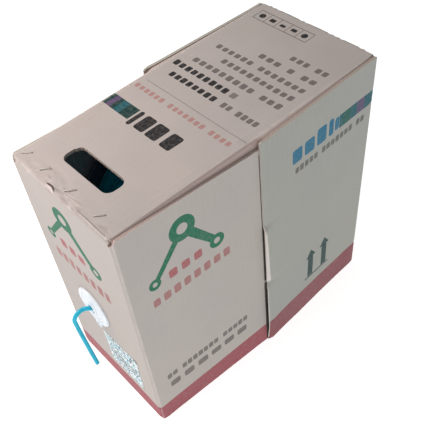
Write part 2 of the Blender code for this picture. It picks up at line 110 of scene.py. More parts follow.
# ------------------------------------------------------------------ node materials
class Shader:
    """A material's node tree, built by calls that take values or sockets."""

    def __init__(self, name):
        self.material = bpy.data.materials.new(name)
        self.material.use_nodes = True
        self.tree = self.material.node_tree
        self.tree.nodes.clear()
        self.at = 0

    def node(self, kind, inputs=None, **settings):
        n = self.tree.nodes.new(kind)
        n.location = (self.at, 0)
        self.at += 180
        for key, value in settings.items():
            setattr(n, key, value)
        for key, value in (inputs or {}).items():
            if isinstance(value, bpy.types.NodeSocket):
                self.tree.links.new(value, n.inputs[key])
            elif isinstance(value, tuple) and len(value) == 3 and n.inputs[key].type == "RGBA":
                n.inputs[key].default_value = (*value, 1.0)
            else:
                n.inputs[key].default_value = value
        return n

    def math(self, operation, *values, clamp=False):
        n = self.node("ShaderNodeMath", dict(enumerate(values)), operation=operation)
        n.use_clamp = clamp
        return n.outputs[0]

    def mix(self, factor, a, b, blend="MIX"):
        n = self.tree.nodes.new("ShaderNodeMix")
        n.data_type, n.blend_type, n.clamp_factor = "RGBA", blend, True
        n.location = (self.at, 0)
        self.at += 180
        for socket, value in ((n.inputs[0], factor), (n.inputs[6], a), (n.inputs[7], b)):
            if isinstance(value, bpy.types.NodeSocket):
                self.tree.links.new(value, socket)
            elif socket.type == "RGBA":
                socket.default_value = (*value, 1.0)
            else:
                socket.default_value = value
        return n.outputs[2]

    def place(self, scale=(1, 1, 1), turned=(0, 0, 0)):
        coords = self.node("ShaderNodeTexCoord").outputs["Object"]
        return self.node(
            "ShaderNodeMapping", {"Vector": coords, "Scale": scale, "Rotation": turned}
        ).outputs[0]

    def noise(self, where, scale, detail=3.0, roughness=0.55, distortion=0.0):
        return self.node(
            "ShaderNodeTexNoise",
            {"Vector": where, "Scale": scale, "Detail": detail, "Roughness": roughness, "Distortion": distortion},
        ).outputs[0]

    def ramp(self, value, low, high, to_low=0.0, to_high=1.0):
        return self.node(
            "ShaderNodeMapRange",
            {0: value, 1: low, 2: high, 3: to_low, 4: to_high},
            interpolation_type="SMOOTHSTEP",
        ).outputs[0]

    def finish(self, colour, roughness, bump=None, distance=0.001, strength=1.0, **more):
        inputs = {"Base Color": colour, "Roughness": roughness}
        inputs.update({k.replace("_", " "): v for k, v in more.items()})
        if bump is not None:
            inputs["Normal"] = self.node(
                "ShaderNodeBump", {"Height": bump, "Distance": distance, "Strength": strength}
            ).outputs[0]
        p = self.node("ShaderNodeBsdfPrincipled", inputs)
        out = self.node("ShaderNodeOutputMaterial")
        self.tree.links.new(p.outputs[0], out.inputs[0])
        return self.material


LINER = srgb(194, 188, 184)
# the rear half's liner, a darker and greener copy of the front's: painted shade for the rear half
REAR_LINER_SHADED = srgb(177, 178, 173)
LID_LINER = srgb(201, 195, 192)


def paper(name, base, ink=None, cover=1.0, flute_axis="X", rub_and_highlight_at=(), flute_depth=0.10, seed=0.0, below=None, crease_shade_and_glint=None):
    """Board liner with fibres, mottling, the flutes showing faintly through it, and a
    print that is a little thin in places and rubbed off along the creases, with a painted
    highlight line laid along them; a pressed strip can get painted shade and highlight lines."""
    s = Shader(name)
    here = s.place()
    mottle = s.noise(here, 14.0 + seed, 4.0)
    cloud = s.noise(here, 4.5 + seed * 0.3, 2.0)
    speck = s.noise(here, 1500.0, 2.0, 0.6)
    fibres = s.noise(s.place((900, 900, 90), (0.3, 0.15, 0.2)), 1.0, 3.0, 0.6)
    flat = s.node("ShaderNodeUVMap", uv_map="flat").outputs[0]
    split = s.node("ShaderNodeSeparateXYZ", {0: flat})
    along = split.outputs[flute_axis]
    waves = s.math("SINE", s.math("MULTIPLY", along, 2 * math.pi / (FLUTE * MM)))
    tone = s.math("ADD", s.ramp(mottle, 0.3, 0.7, 0.975, 1.02), s.ramp(cloud, 0.3, 0.7, -0.02, 0.02))
    tone = s.math("ADD", tone, s.ramp(speck, 0.35, 0.7, -0.02, 0.015))
    tone = s.math("ADD", tone, s.ramp(fibres, 0.35, 0.7, -0.018, 0.018))
    tone = s.math("ADD", tone, s.math("MULTIPLY", waves, 0.0035))
    tinted = s.mix(s.ramp(cloud, 0.35, 0.7), base, tuple(c * k for c, k in zip(base, (1.0, 0.985, 0.96))))
    flecks = s.ramp(s.noise(here, 420.0, 1.0), 0.73, 0.78)
    tinted = s.mix(s.math("MULTIPLY", flecks, 0.35), tinted, tuple(c * 0.72 for c in base))
    colour = s.mix(1.0, tinted, s.node("ShaderNodeCombineXYZ", {0: tone, 1: tone, 2: tone}).outputs[0], "MULTIPLY")
    if ink is not None:
        thin = s.ramp(s.noise(here, 260.0, 3.0, 0.65), 0.30, 0.62, cover * 0.88, cover)
        pin = s.ramp(speck, 0.68, 0.76, 1.0, 0.65)
        inked = s.math("MULTIPLY", thin, pin)
        colour = s.mix(inked, colour, ink)
    # rubbed wear along the creases, with a painted highlight line on them
    if rub_and_highlight_at:
        rub = None
        for axis, place, width in rub_and_highlight_at:
            away = s.math("ABSOLUTE", s.math("SUBTRACT", s.math("ABSOLUTE", split.outputs[axis]), place * MM))
            near = s.ramp(away, 0.0, width * MM, 1.0, 0.0)
            rub = near if rub is None else s.math("MAXIMUM", rub, near)
        ragged = s.ramp(s.noise(s.place((1, 1, 0.35)), 110.0, 4.0, 0.7), 0.30, 0.62, 0.25, 1.0)
        rub_and_highlight = s.math("MULTIPLY", s.math("MULTIPLY", rub, ragged), 0.60)
        colour = s.mix(rub_and_highlight, colour, srgb(226, 218, 212))
    if crease_shade_and_glint is not None:
        low, high = crease_shade_and_glint
        # painted shade lines and painted highlight (glint) lines along the pressed strip's creases
        lines = s.node("ShaderNodeCombineXYZ", {0: s.math("MULTIPLY", split.outputs["X"], 20.0), 1: s.math("MULTIPLY", split.outputs["Y"], 110.0)}).outputs[0]
        crease = s.math("ABSOLUTE", s.math("SUBTRACT", s.noise(lines, 1.0, 2.0, 0.5, 0.6), 0.5))
        within = s.ramp(split.outputs["Y"], low * MM, high * MM, 1.0, 0.0)
        patchy = s.ramp(s.noise(here, 38.0, 2.0), 0.42, 0.60)
        line = s.math("MULTIPLY", s.math("MULTIPLY", s.ramp(crease, 0.02, 0.06, 1.0, 0.0), within), patchy)
        colour = s.mix(s.math("MULTIPLY", line, 0.40), colour, srgb(150, 132, 124))
        glint = s.math("MULTIPLY", s.math("MULTIPLY", s.ramp(s.math("ABSOLUTE", s.math("SUBTRACT", crease, 0.11)), 0.0, 0.05, 1.0, 0.0), within), patchy)
        colour = s.mix(s.math("MULTIPLY", glint, 0.40), colour, srgb(240, 232, 228))
    if below is not None:
        axis, place, width, tint = below
        turned_down = s.ramp(s.math("ABSOLUTE", split.outputs[axis]), place * MM, (place + width) * MM)
        colour = s.mix(s.math("MULTIPLY", turned_down, 0.85), colour, tint)
    height = s.math("ADD", s.math("MULTIPLY", waves, flute_depth), s.math("MULTIPLY", speck, 0.10))
    height = s.math("ADD", height, s.math("MULTIPLY", mottle, 0.55))
    rough = s.ramp(mottle, 0.3, 0.7, 0.62, 0.74) if ink is None else s.ramp(mottle, 0.3, 0.7, 0.50, 0.62)
    return s.finish(colour, rough, height, 0.0006, 0.55, Specular_IOR_Level=0.22)


def cut_edge(name, base, top=None):
    """A cut corrugated edge: two liners with the waved medium and painted shade in its
    hollows between. The edges round the top are made browner, save on the left side."""
    s = Shader(name)
    flat = s.node("ShaderNodeUVMap", uv_map="flat").outputs[0]
    split = s.node("ShaderNodeSeparateXYZ", {0: flat})
    depth = split.outputs["Y"]
    fray = s.noise(s.place(), 700.0, 3.0, 0.6)
    wave = s.math("SINE", s.math("MULTIPLY", split.outputs["X"], 2 * math.pi / (FLUTE * MM)))
    centre = s.math("ADD", 0.5, s.math("MULTIPLY", wave, 0.33))
    off = s.math("ABSOLUTE", s.math("SUBTRACT", depth, centre))
    medium = s.ramp(s.math("ADD", off, s.math("MULTIPLY", s.math("SUBTRACT", fray, 0.5), 0.12)), 0.10, 0.17, 1.0, 0.0)
    rim = s.ramp(s.math("ABSOLUTE", s.math("SUBTRACT", depth, 0.5)), 0.38, 0.41)
    paperish = s.math("MAXIMUM", medium, rim)
    if top is None:
        top = base
    height = s.node("ShaderNodeSeparateXYZ", {0: s.place()}).outputs["Z"]
    upper = s.ramp(height, 0.350, 0.368)
    fibre = s.mix(fray, tuple(c * 0.88 for c in base), tuple(min(1, c * 1.10) for c in base))
    fibre_top = s.mix(fray, tuple(c * 0.85 for c in top), tuple(min(1, c * 1.12) for c in top))
    far_side = s.ramp(s.node("ShaderNodeSeparateXYZ", {0: s.place()}).outputs["X"], -0.094, -0.090, 1.0, 0.0)
    fibre_top = s.mix(far_side, fibre_top, srgb(204, 204, 196))
    fibre = s.mix(upper, fibre, fibre_top)
    # painted shade in the flute hollows, lighter towards the top
    hollow_shade = s.mix(upper, (0.72, 0.70, 0.68), (0.88, 0.86, 0.85))
    colour = s.mix(paperish, s.mix(1.0, fibre, hollow_shade, "MULTIPLY"), fibre)
    return s.finish(colour, 0.9, s.math("ADD", paperish, s.math("MULTIPLY", fray, 0.4)), 0.0005, 0.6)


KRAFT = srgb(168, 134, 100)
EDGE = srgb(222, 212, 204)
EDGE_TOP = srgb(196, 184, 175)
INSIDE = srgb(176, 168, 156)
# crease lines: rubbed wear and a painted highlight
SIDE_RUB_AND_HIGHLIGHT = (("X", FLAT + CORNER * math.pi / 4, 1.5),)
LID_RUB_AND_HIGHLIGHT = (("X", LID_FLAT + 0.8, 1.6),)
LID_BAND = ("X", LID_FLAT + 1.1, 1.3, srgb(194, 172, 167))
INKS = {
    "green": (srgb(8, 114, 84), 0.99),
    "red": (srgb(170, 66, 78), 0.80),
    "brownred": (srgb(164, 92, 92), 0.78),
    "stripe": (srgb(164, 80, 90), 0.97),
    # darker copy of the stripe for the rear half: painted shade
    "rear_stripe_shaded": (srgb(146, 76, 84), 0.97),
    "blue": (srgb(22, 114, 148), 0.98),
    "teal": (srgb(4, 96, 108), 0.98),
    "deepteal": (srgb(4, 96, 88), 0.98),
    "purple": (srgb(92, 74, 116), 0.95),
    "dark": (srgb(30, 30, 34), 0.98),
    # painted shadow
    "shade": (srgb(84, 72, 68), 0.95),
    # painted shade for the gap under the outer flap's lap
    "gap_shade": (srgb(58, 58, 56), 0.96),
    "grey": (srgb(78, 70, 70), 0.74),
    "palegrey": (srgb(104, 92, 90), 0.72),
    "deepgreen": (srgb(4, 62, 60), 0.99),
    "palered": (srgb(184, 108, 104), 0.62),
    # pale peeled liner; on the lid's buckle it is partly a painted highlight
    "peel_and_highlight": (srgb(230, 222, 218), 0.98),
}


def board_set(prefix, names, flute_axis, rub_and_highlight, below=None, liner=LINER, crease_shade_and_glint=None, top=EDGE_TOP):
    """The materials of one sheet: liner, inside, cut edge, then its inks."""
    mats = [
        paper(prefix + "_liner", liner, flute_axis=flute_axis, rub_and_highlight_at=rub_and_highlight, below=below, crease_shade_and_glint=crease_shade_and_glint),
        paper(prefix + "_inside", INSIDE, flute_axis=flute_axis, flute_depth=0.22, seed=3.0),
        cut_edge(prefix + "_cut_edge", EDGE, top),
    ]
    for n in names:
        ink, cover = INKS[n]
        mats.append(paper(prefix + "_ink_" + n, liner, ink, cover, flute_axis, rub_and_highlight))
    return mats, {n: i + 3 for i, n in enumerate(names)}


# ------------------------------------------------------------------ print shapes
def rounded(u0, u1, v0, v1, r=None):
    r = min(abs(u1 - u0), abs(v1 - v0)) * 0.22 if r is None else r
    points = []
    for cu, cv, a0 in ((u1 - r, v1 - r, 0), (u0 + r, v1 - r, 90), (u0 + r, v0 + r, 180), (u1 - r, v0 + r, 270)):
        for a in (0, 45, 90):
            t = math.radians(a0 + a)
            points.append((cu + r * math.cos(t), cv + r * math.sin(t)))
    return points


def disc(u, v, r, sides=28):
    return [(u + r * math.cos(2 * math.pi * i / sides), v + r * math.sin(2 * math.pi * i / sides)) for i in range(sides)]


def strut(a, b, width_a, width_b):
    a, b = Vector(a), Vector(b)
    n = Vector((-(b - a).y, (b - a).x)).normalized()
    return [tuple(a + n * width_a / 2), tuple(b + n * width_b / 2), tuple(b - n * width_b / 2), tuple(a - n * width_a / 2)]


def row(u0, u1, v0, v1, words, seed, gap=0.16):
    """Greeked text: plain blocks, `words` long, that fill u0..u1."""
    rng = random.Random(seed)
    total = sum(words) + 0.75 * (len(words) - 1)
    unit = (u1 - u0) / total
    shapes, at = [], u0
    for w in words:
        for k in range(w):
            slack = gap * unit
            inset = rng.uniform(0.0, 0.10) * (v1 - v0)
            shapes.append(rounded(at + slack / 2, at + unit - slack / 2 - rng.uniform(0, 0.06) * unit, v0 + inset * 0.5, v1 - inset))
            at += unit
        at += 0.75 * unit
    return shapes


def emblem(u, v, mirror=1):
    """A generic network tree: a large node above, wired to two small ones below."""
    a, b, c = (u - 47 * mirror, v), (u + 44 * mirror, v), (u, v + 56)
    return [
        ("green", strut(a, c, 7, 9)), ("green", strut(b, c, 10, 13)),
        ("green", disc(*a, 8.5)), ("green", disc(*b, 11.0)), ("green", disc(*c, 18.0)),
        (None, disc(*a, 3.4)), (None, disc(*b, 4.6)), (None, disc(*c, 7.6)),
    ]


def arrow(u, low, high):
    return [
        ("deepgreen", [(u - 5.6, low), (u + 5.6, low), (u + 5.6, high - 15), (u - 5.6, high - 15)]),
        ("deepgreen", [(u - 10.5, high - 15.5), (u + 10.5, high - 15.5), (u, high)]),
    ]


def tagged(ink, shapes):
    return [(ink, s) for s in shapes]


def front_print():
    out = emblem(-12, 280)
    out += tagged("red", row(-42, 13, 272, 287, [3], 3, 0.30))
    out += tagged("brownred", row(-68, 50, 232, 250, [8], 4, 0.30))
    return out


def side_front_print(at):
    """The half nearest the outlet; `at` turns a place along the box into the sheet's own."""
    m = 1 if at(1) > at(0) else -1
    out = emblem(at(-116), 283, m)
    u = sorted((at(-146), at(-91)))
    out += tagged("red", row(*u, 275, 290, [3], 5, 0.30))
    u = sorted((at(-173), at(-52)))
    out += tagged("brownred", row(*u, 245, 260, [8], 6, 0.30))
    u = sorted((at(-178), at(-36)))
    out += tagged("grey", row(*u, 87, 98, [2, 7, 5], 7, 0.18))
    out += tagged("grey", row(*u, 65, 78, [6], 8, 0.26))
    return out


def side_rear_print(at):
    out = []
    for k, (a, b) in enumerate(((49, 66), (70.5, 88), (92.5, 109.5), (114, 122.5), (125, 133))):
        u = sorted((at(a), at(b)))
        out.append(("blue", rounded(*u, 316 if k < 4 else 318, 341 if k in (2, 3) else 337, 3)))
    for ink, a, b in (("teal", 133.5, 139), ("deepteal", 139, 154), ("teal", 154, 167), ("purple", 167, 181), ("teal", 181, 199)):
        u = sorted((at(a), at(b)))
        out.append((ink, [(u[0], 317), (u[1], 317), (u[1], 337), (u[0], 337)]))
    u = sorted((at(53), at(184)))
    out += tagged("grey", row(*u, 298, 308, [2, 7, 5], 9, 0.18))
    out += arrow(at(89), 69, 127) + arrow(at(119), 69, 127)
    u = sorted((at(78), at(130)))
    out.append(("deepgreen", [(u[0], 65.2), (u[1], 65.2), (u[1], 68.2), (u[0], 68.2)]))
    return out


def lid_print():
    out = []
    for a, b, low in ((19, 36, -77), (-6.5, 12.5, -77), (-27, -10, -77), (-38.5, -32, -79)):
        out.append(("dark", rounded(a, b, low, -52, 3)))
    for ink, a, b in (("deepgreen", -59, -41.5), ("teal", -70, -59), ("deepgreen", -76, -70), ("purple", -84, -76), ("deepgreen", -91.2, -84)):
        out.append((ink, [(a, -73), (b, -73), (b, -53), (a, -53)]))
    out += tagged("palered", row(-86, 81, -29, -21, [6, 7, 4], 11, 0.30))
    out.append(("palegrey", [(-81, -11.6), (90, -11.6), (90, -10.8), (-81, -10.8)]))
    # the liner has split across the buckle in the front strip: a pale patch that is partly torn liner and partly
    # painted highlight, with a painted shadow along it
    out.append(("peel_and_highlight", [(-24.5, -198.3), (-21.0, -197.2), (-14.5, -196.9), (-9.0, -198.7), (-5.5, -200.8), (-9.5, -201.0), (-14.5, -199.2), (-20.0, -198.9)]))
    out.append(("shade", [(-25.5, -195.9), (-22.0, -194.3), (-14.5, -193.9), (-9.0, -195.8), (-5.0, -198.9), (-9.0, -198.0), (-14.5, -196.3), (-22.0, -196.6)]))
    # and a painted shadow line runs along the fold towards the right corner, under the lifted lip
    out.append(("shade", [(33.0, -196.9), (60.0, -197.2), (84.0, -198.0), (84.0, -197.4), (60.0, -196.5), (33.0, -196.5)]))
    out += tagged("dark", row(-71, 12, 12, 21.5, [8], 12, 0.24))
    out += tagged("grey", row(20, 80, 12, 21.5, [2, 4], 13, 0.24))
    out += tagged("dark", row(-85, 12, 31, 41, [9], 14, 0.24))
    out += tagged("palegrey", [rounded(16, 25, 31.5, 40.5, 1.0)])
    for a, low, high, words, k in (
        (-71, 50, 60, [9, 3], 15), (-41, 70, 79, [11], 16), (-69, 88, 97, [6, 7], 17),
        (-14, 107, 116, [3, 1, 2], 18), (19, 127, 136, [3, 2], 19),
    ):
        out += tagged("grey", row(a, 79, low, high, words, k, 0.28))
    out += tagged("palegrey", [
        [(-79, 164.2), (12, 164.2), (12, 165.6), (-79, 165.6)],
        [(-79, 183.0), (12, 183.0), (12, 184.4), (-79, 184.4)],
    ])
    for k in range(6):
        u = -79 + k * 18.0
        out.append(("palegrey", [(u, 165.6), (u + 1.2, 165.6), (u + 1.2, 183.0), (u, 183.0)]))
    for k in range(5):
        u = -69.6 + k * 18.0
        out.append(("dark", disc(u, 174.4, 4.6, 18) if k in (0, 4) else rounded(u - 4.5, u + 4.5, 171 + (k == 3), 178 - 2 * (k == 2), 1.6)))
    return out


# ------------------------------------------------------------------ folded sheets
def dense(points, step=8.0):
    """A closed outline with no side longer than step."""
    out = []
    for a, b in zip(points, points[1:] + points[:1]):
        n = max(1, math.ceil(math.dist(a, b) / step))
        out += [(a[0] + (b[0] - a[0]) * k / n, a[1] + (b[1] - a[1]) * k / n) for k in range(n)]
    return out


def ccw(points):
    area = sum(a[0] * b[1] - b[0] * a[1] for a, b in zip(points, points[1:] + points[:1]))
    return points if area > 0 else points[::-1]


def folded_sheet(name, outline, place, mats, inks, prints=(), holes=(), us=(), vs=(), flute_along="X"):
    """One board: its developed outline, cut by the print's edges, is laid on an outside
    and an inside skin by place(u, v), and the cut edges close it."""
    verts, faces, tags = [], [], []

    def add(points, tag):
        base = len(verts)
        verts.extend(Vector(p) for p in ccw(points))
        faces.append(list(range(base, len(verts))))
        tags.append(tag)

    add(dense(outline), "board")
    for h in holes:
        add(h, "hole")
    for ink, shape in prints:
        add(dense(shape, 14.0), 0 if ink is None else inks[ink])
    verts += [Vector((u, v)) for u in us for v in vs]
    flat, _, tris, _, _, owners = delaunay_2d_cdt(verts, [], faces, 1, 1e-4, True)
    kept, slots = [], []
    for tri, own in zip(tris, owners):
        if 0 not in own or any(tags[o] == "hole" for o in own):
            continue
        inked = [o for o in own if o > len(holes)]
        kept.append(tuple(tri))
        slots.append(tags[max(inked)] if inked else 0)
    used = sorted({i for t in kept for i in t})
    index = {old: new for new, old in enumerate(used)}
    kept = [tuple(index[i] for i in t) for t in kept]
    flat = [flat[i] for i in used]
    count = len(flat)
    pairs = [place(p.x, p.y) for p in flat]
    points = [a for a, _ in pairs] + [b for _, b in pairs]
    sides = {}
    for t in kept:
        for a, b in zip(t, t[1:] + t[:1]):
            sides[(a, b)] = sides.get((a, b), 0) + 1
    border = [(a, b) for a, b in sides if (b, a) not in sides]
    polys = list(kept) + [tuple(i + count for i in reversed(t)) for t in kept]
    mat_of = slots + [1] * len(kept)
    uv_of = [[(flat[i].x, flat[i].y) for i in t] for t in kept]
    uv_of += [[(flat[i - count].x, flat[i - count].y) for i in t] for t in polys[len(kept):]]
    which = 0 if flute_along == "X" else 1
    for a, b in border:
        polys.append((b, a, a + count, b + count))
        mat_of.append(2)
        uv_of.append([(flat[b][which], 0.0), (flat[a][which], 0.0), (flat[a][which], 1000.0), (flat[b][which], 1000.0)])
    mesh = bpy.data.meshes.new(name)
    mesh.from_pydata([Vector(p) * MM for p in points], [], polys)
    layer = mesh.uv_layers.new(name="flat")
    layer.data.foreach_set("uv", np.array([c * MM for uv in uv_of for p in uv for c in p], np.float32))
    mesh.polygons.foreach_set("material_index", np.array(mat_of, np.int32))
    for m in mats:
        mesh.materials.append(m)
    # The skins must face out; a sheet laid the other way round is turned over.
    solid = bmesh.new()
    solid.from_mesh(mesh)
    if solid.calc_volume(signed=True) < 0:
        bmesh.ops.reverse_faces(solid, faces=solid.faces)
    solid.to_mesh(mesh)
    solid.free()
    mesh.update()
    mesh.shade_smooth()
    mesh.set_sharp_from_angle(angle=math.radians(28))
    obj = bpy.data.objects.new(name, mesh)
    bpy.context.scene.collection.objects.link(obj)
    return obj


def rumple(x, y, z, size=70.0, depth=0.5):
    """How far a tired board lies inside its flat place, 0 to depth."""
    p = Vector((x / size, y / size, z / size))
    return depth * (0.5 + 0.5 * max(-1.0, min(1.0, 1.3 * noise.noise(p) + 0.45 * noise.noise(p * 2.7))))


def bulge(z):
    return 12.3 + (6.7 - 12.3) * z / BOX_H


def rear_inner_x(y, z):
    return HALF_W - BOARD + bulge(z) * (1 - y / INNER_Y)


def front_outer_x(y, z):
    if y <= 0:
        return HALF_W + (bulge(z) - BOARD - 0.4) * (1 + y / INNER_Y)
    return rear_inner_x(y, z) - 0.4


FRONT_END = SIDE_AT + LAP_Y + 195.0
REAR_END = SIDE_AT + 195.0 - SEAM_Y
TUCK_ARC = 376.7                      # where the front panel starts to fold in
TUCK_FLAT = TUCK_ARC + 4.0 * math.pi / 2
TUCK_END = TUCK_FLAT + 29.0


def front_place(u, v):
    side, a = (1 if u >= 0 else -1), abs(u)
    if v > TUCK_ARC and a < FLAT - 3.0:
        dip = 1.5 * math.exp(-(((u + 16.5) / 9.0) ** 2))
        if v < TUCK_FLAT:
            t = (v - TUCK_ARC) / 4.0
            out = Vector((u, -INNER_Y - 4.0 * math.cos(t), TUCK_ARC + (4.0 - dip) * math.sin(t)))
            return out, Vector((u, -INNER_Y - 0.3 * math.cos(t), TUCK_ARC + 0.3 * math.sin(t)))
        y = -INNER_Y + (v - TUCK_FLAT)
        low = 0.35 * smooth(0, 8, v - TUCK_FLAT) + dip * math.exp(-((v - TUCK_FLAT) / 7.0))
        return Vector((u, y, TUCK_ARC + 4.0 - low)), Vector((u, y, TUCK_ARC + 0.3 - low))
    if a <= FLAT:
        keep = smooth(0, 45, math.dist((u, v), (OUTLET_X, OUTLET_Z)) - 34) * smooth(0, 25, FLAT - a) * smooth(0, 20, v)
        keep *= smooth(0, 30, TUCK_ARC - v)
        n = keep * rumple(u, 0, v, 90.0, 1.3)
        return Vector((u, -HALF_L + n, v)), Vector((u, -INNER_Y + n, v))
    if a <= SIDE_AT:
        t = (a - FLAT) / CORNER
        inside = CORNER - BOARD
        return (
            Vector((side * (FLAT + CORNER * math.sin(t)), -195.0 - CORNER * math.cos(t), v)),
            Vector((side * (FLAT + inside * math.sin(t)), -195.0 - inside * math.cos(t), v)),
        )
    y = -195.0 + (a - SIDE_AT)
    x = front_outer_x(y, v)
    if y < SEAM_Y:
        keep = smooth(0, 30, a - SIDE_AT) * smooth(0, 18, SEAM_Y - y)
        x -= keep * rumple(side * 9, y, v, 75.0, 0.9)
        # a soft upright ridge where the inner flap starts to bend under the outer one
        tall = smooth(150, 230, v) * smooth(0, 6, SEAM_Y - y)
        x += tall * (0.9 * math.exp(-(((y + 17) / 4.0) ** 2)) - 0.9 * math.exp(-(((y + 9) / 3.2) ** 2)))
    return Vector((side * x, y, v)), Vector((side * (x - BOARD), y, v))


def rear_place(u, v):
    side, a = (1 if u >= 0 else -1), abs(u)
    if v > LID_UNDER and a < FLAT - 3.0:
        t = min(math.pi / 2, (v - LID_UNDER) / 4.0)
        return (
            Vector((u, INNER_Y + 4.0 * math.cos(t), LID_UNDER + 4.0 * math.sin(t))),
            Vector((u, INNER_Y + 0.3 * math.cos(t), LID_UNDER + 0.3 * math.sin(t))),
        )
    if a <= FLAT:
        keep = smooth(0, 25, FLAT - a) * smooth(0, 20, v) * smooth(0, 30, LID_UNDER - v)
        n = keep * rumple(u, 40, v, 90.0, 1.4)
        return Vector((u, HALF_L - n, v)), Vector((u, INNER_Y - n, v))
    if a <= SIDE_AT:
        t = (a - FLAT) / CORNER
        inside = CORNER - BOARD
        return (
            Vector((side * (FLAT + CORNER * math.sin(t)), 195.0 + CORNER * math.cos(t), v)),
            Vector((side * (FLAT + inside * math.sin(t)), 195.0 + inside * math.cos(t), v)),
        )
    y = 195.0 - (a - SIDE_AT)
    z = v
    inner = rear_inner_x(y, z)
    outer = inner + BOARD
    edge = y - SEAM_Y
    keep = smooth(0, 30, a - SIDE_AT) * smooth(0, 30, edge)
    n = keep * rumple(side * 5, y, z, 80.0, 1.0)
    inner, outer = inner - n, outer - n
    # The free edge: crushed thin above, sprung open with its full thickness in the
    # middle, and thin and proud again below a nick.
    middle = smooth(138, 145, z) * smooth(251, 244, z)
    thin = (1 - middle) * smooth(7.5, 0.0, edge)
    outer -= (2.5 + 0.6 * smooth(136, 120, z)) * thin
    # the middle's outer liner has peeled back, more towards its lower end
    outer -= 2.6 * middle * smooth(1.4 + 4.4 * smooth(247, 150, z), 0.0, edge)
    spring = 2.4 * middle * math.exp(-edge / 16.0) + 3.4 * smooth(138, 126, z) * smooth(0, 40, z) * math.exp(-edge / 9.0)
    spring = min(spring, 108.3 - outer)
    return Vector((side * (outer + spring), y, z)), Vector((side * (inner + spring), y, z))


def lid_gap(y, z):
    """Room between the lid's side edge and the flap outside it."""
    ahead = (bulge(z) - BOARD - 0.4) * (1 + y / INNER_Y) - 0.25
    lap = bulge(z) * (1 - y / INNER_Y) - BOARD - 0.8
    behind = bulge(z) * (1 - y / INNER_Y) - 0.3
    if z > 374.5:
        return max(0.0, ahead + (behind - ahead) * smooth(SEAM_Y - 1, SEAM_Y + 6, y))
    return max(0.0, min(ahead, lap) if y < LAP_Y + 4 else min(behind, 2.0))


NOSE_R = 3.0
NOSE_AT = -HALF_L + NOSE_R            # where the lid starts to turn down in front
NOSE_DOWN = NOSE_AT - NOSE_R * math.pi / 2
LIP = NOSE_DOWN - 2.4


def lid_place(u, v):
    """u runs across the lid and down its flanges, v is the place along the box and
    down over the front."""
    side, a = (1 if u >= 0 else -1), abs(u)
    if a <= LID_FLAT:
        keep = smooth(0, 22, LID_FLAT - a) * smooth(0, 25, INNER_Y - v) * smooth(-172, -120, v)
        n = keep * rumple(u, v, 7, 85.0, 1.2)
        # the pressed strip along the front: shallow creases, deepest by the buckle
        strip = smooth(-168, -180, v) * smooth(0, 14, LID_FLAT - a)
        wave = noise.noise(Vector((u / 26.0, v / 6.5, 2.0))) + 0.6 * noise.noise(Vector((u / 9.0, v / 3.6, 8.0)))
        near = 0.45 + 0.9 * math.exp(-(((u + 22) / 30.0) ** 2))
        n += strip * near * 1.35 * (0.55 + 0.75 * wave)
        for x in STAPLE_X:
            n += 0.3 * math.exp(-((math.dist((u, v), (x, STAPLE_Y)) / 5.0) ** 2))
        n = max(0.0, n)
        fold = math.exp(-(((u + 17.0) / 7.5) ** 2)) * math.exp(-(((v + 196.5) / 3.4) ** 2))
        inner_x = a if a < 78 else 78 + (a - 78) * (LID_HALF - BOARD - 0.3 - 78) / (LID_FLAT - 78)
        if v >= NOSE_AT:
            thick = BOARD - 2.2 * smooth(NOSE_AT + 4, NOSE_AT, v)
            z = BOX_H - n + 0.85 * fold
            return Vector((u, v, z)), Vector((side * inner_x, v, z - thick))
        t = min(math.pi / 2, (NOSE_AT - v) / NOSE_R)
        thick = 1.8 - 1.45 * smooth(0, math.pi / 2, t)
        past = max(0.0, NOSE_DOWN - v)
        out = Vector((u, NOSE_AT - NOSE_R * math.sin(t), BOX_H - NOSE_R + NOSE_R * math.cos(t) - past - n * math.cos(t) + 0.6 * fold))
        proud = 0.7 * math.exp(-(((u + 17.0) / 7.0) ** 2)) * smooth(0.4, 1.5, t) - 0.12 * smooth(0, 40, -u)
        out.y -= proud
        normal = Vector((0, -math.sin(t), math.cos(t)))
        return out, out - normal * thick
    if a <= LID_SIDE:
        t = (a - LID_FLAT) / LID_FOLD
        corner = LID_HALF - BOARD - 0.3
        return (
            Vector((side * (LID_FLAT + (LID_FOLD + lid_gap(v, 380.0)) * math.sin(t)), v, BOX_H - LID_FOLD + LID_FOLD * math.cos(t))),
            Vector((side * (corner + 0.3 * math.sin(t)), v, LID_UNDER - 0.3 + 0.3 * math.cos(t))),
        )
    z = BOX_H - LID_FOLD - (a - LID_SIDE)
    n = 0.25 * smooth(0, 12, a - LID_SIDE) * rumple(side * 3, v, z, 60.0, 1.0)
    # it leans out against the flap at the top and goes straight below
    lean_out = lid_gap(v, 380.0) + (lid_gap(v, 374.0) - lid_gap(v, 380.0)) * smooth(380.5, 374.5, z)
    lean_out *= smooth(350.0, 371.0, z)
    inner_z = min(z, LID_UNDER - 0.3 - 0.4 * (a - LID_SIDE))
    return Vector((side * (LID_HALF - n + lean_out), v, z)), Vector((side * (LID_HALF - BOARD - n + 0.8 * lean_out), v, inner_z))


def bottom_place(u, v):
    side, a = (1 if u >= 0 else -1), abs(u)
    if a <= BOTTOM_FLAT:
        return Vector((u, v, 0.0)), Vector((u, v, BOARD))
    if a <= BOTTOM_SIDE:
        t = (a - BOTTOM_FLAT) / BOTTOM_FOLD
        inside = BOTTOM_FOLD - BOARD
        return (
            Vector((side * (BOTTOM_FLAT + BOTTOM_FOLD * math.sin(t)), v, BOTTOM_FOLD - BOTTOM_FOLD * math.cos(t))),
            Vector((side * (BOTTOM_FLAT + inside * math.sin(t)), v, BOTTOM_FOLD - inside * math.cos(t))),
        )
    z = BOTTOM_FOLD + (a - BOTTOM_SIDE)
    return Vector((side * LID_HALF, v, z)), Vector((side * (LID_HALF - BOARD), v, z))


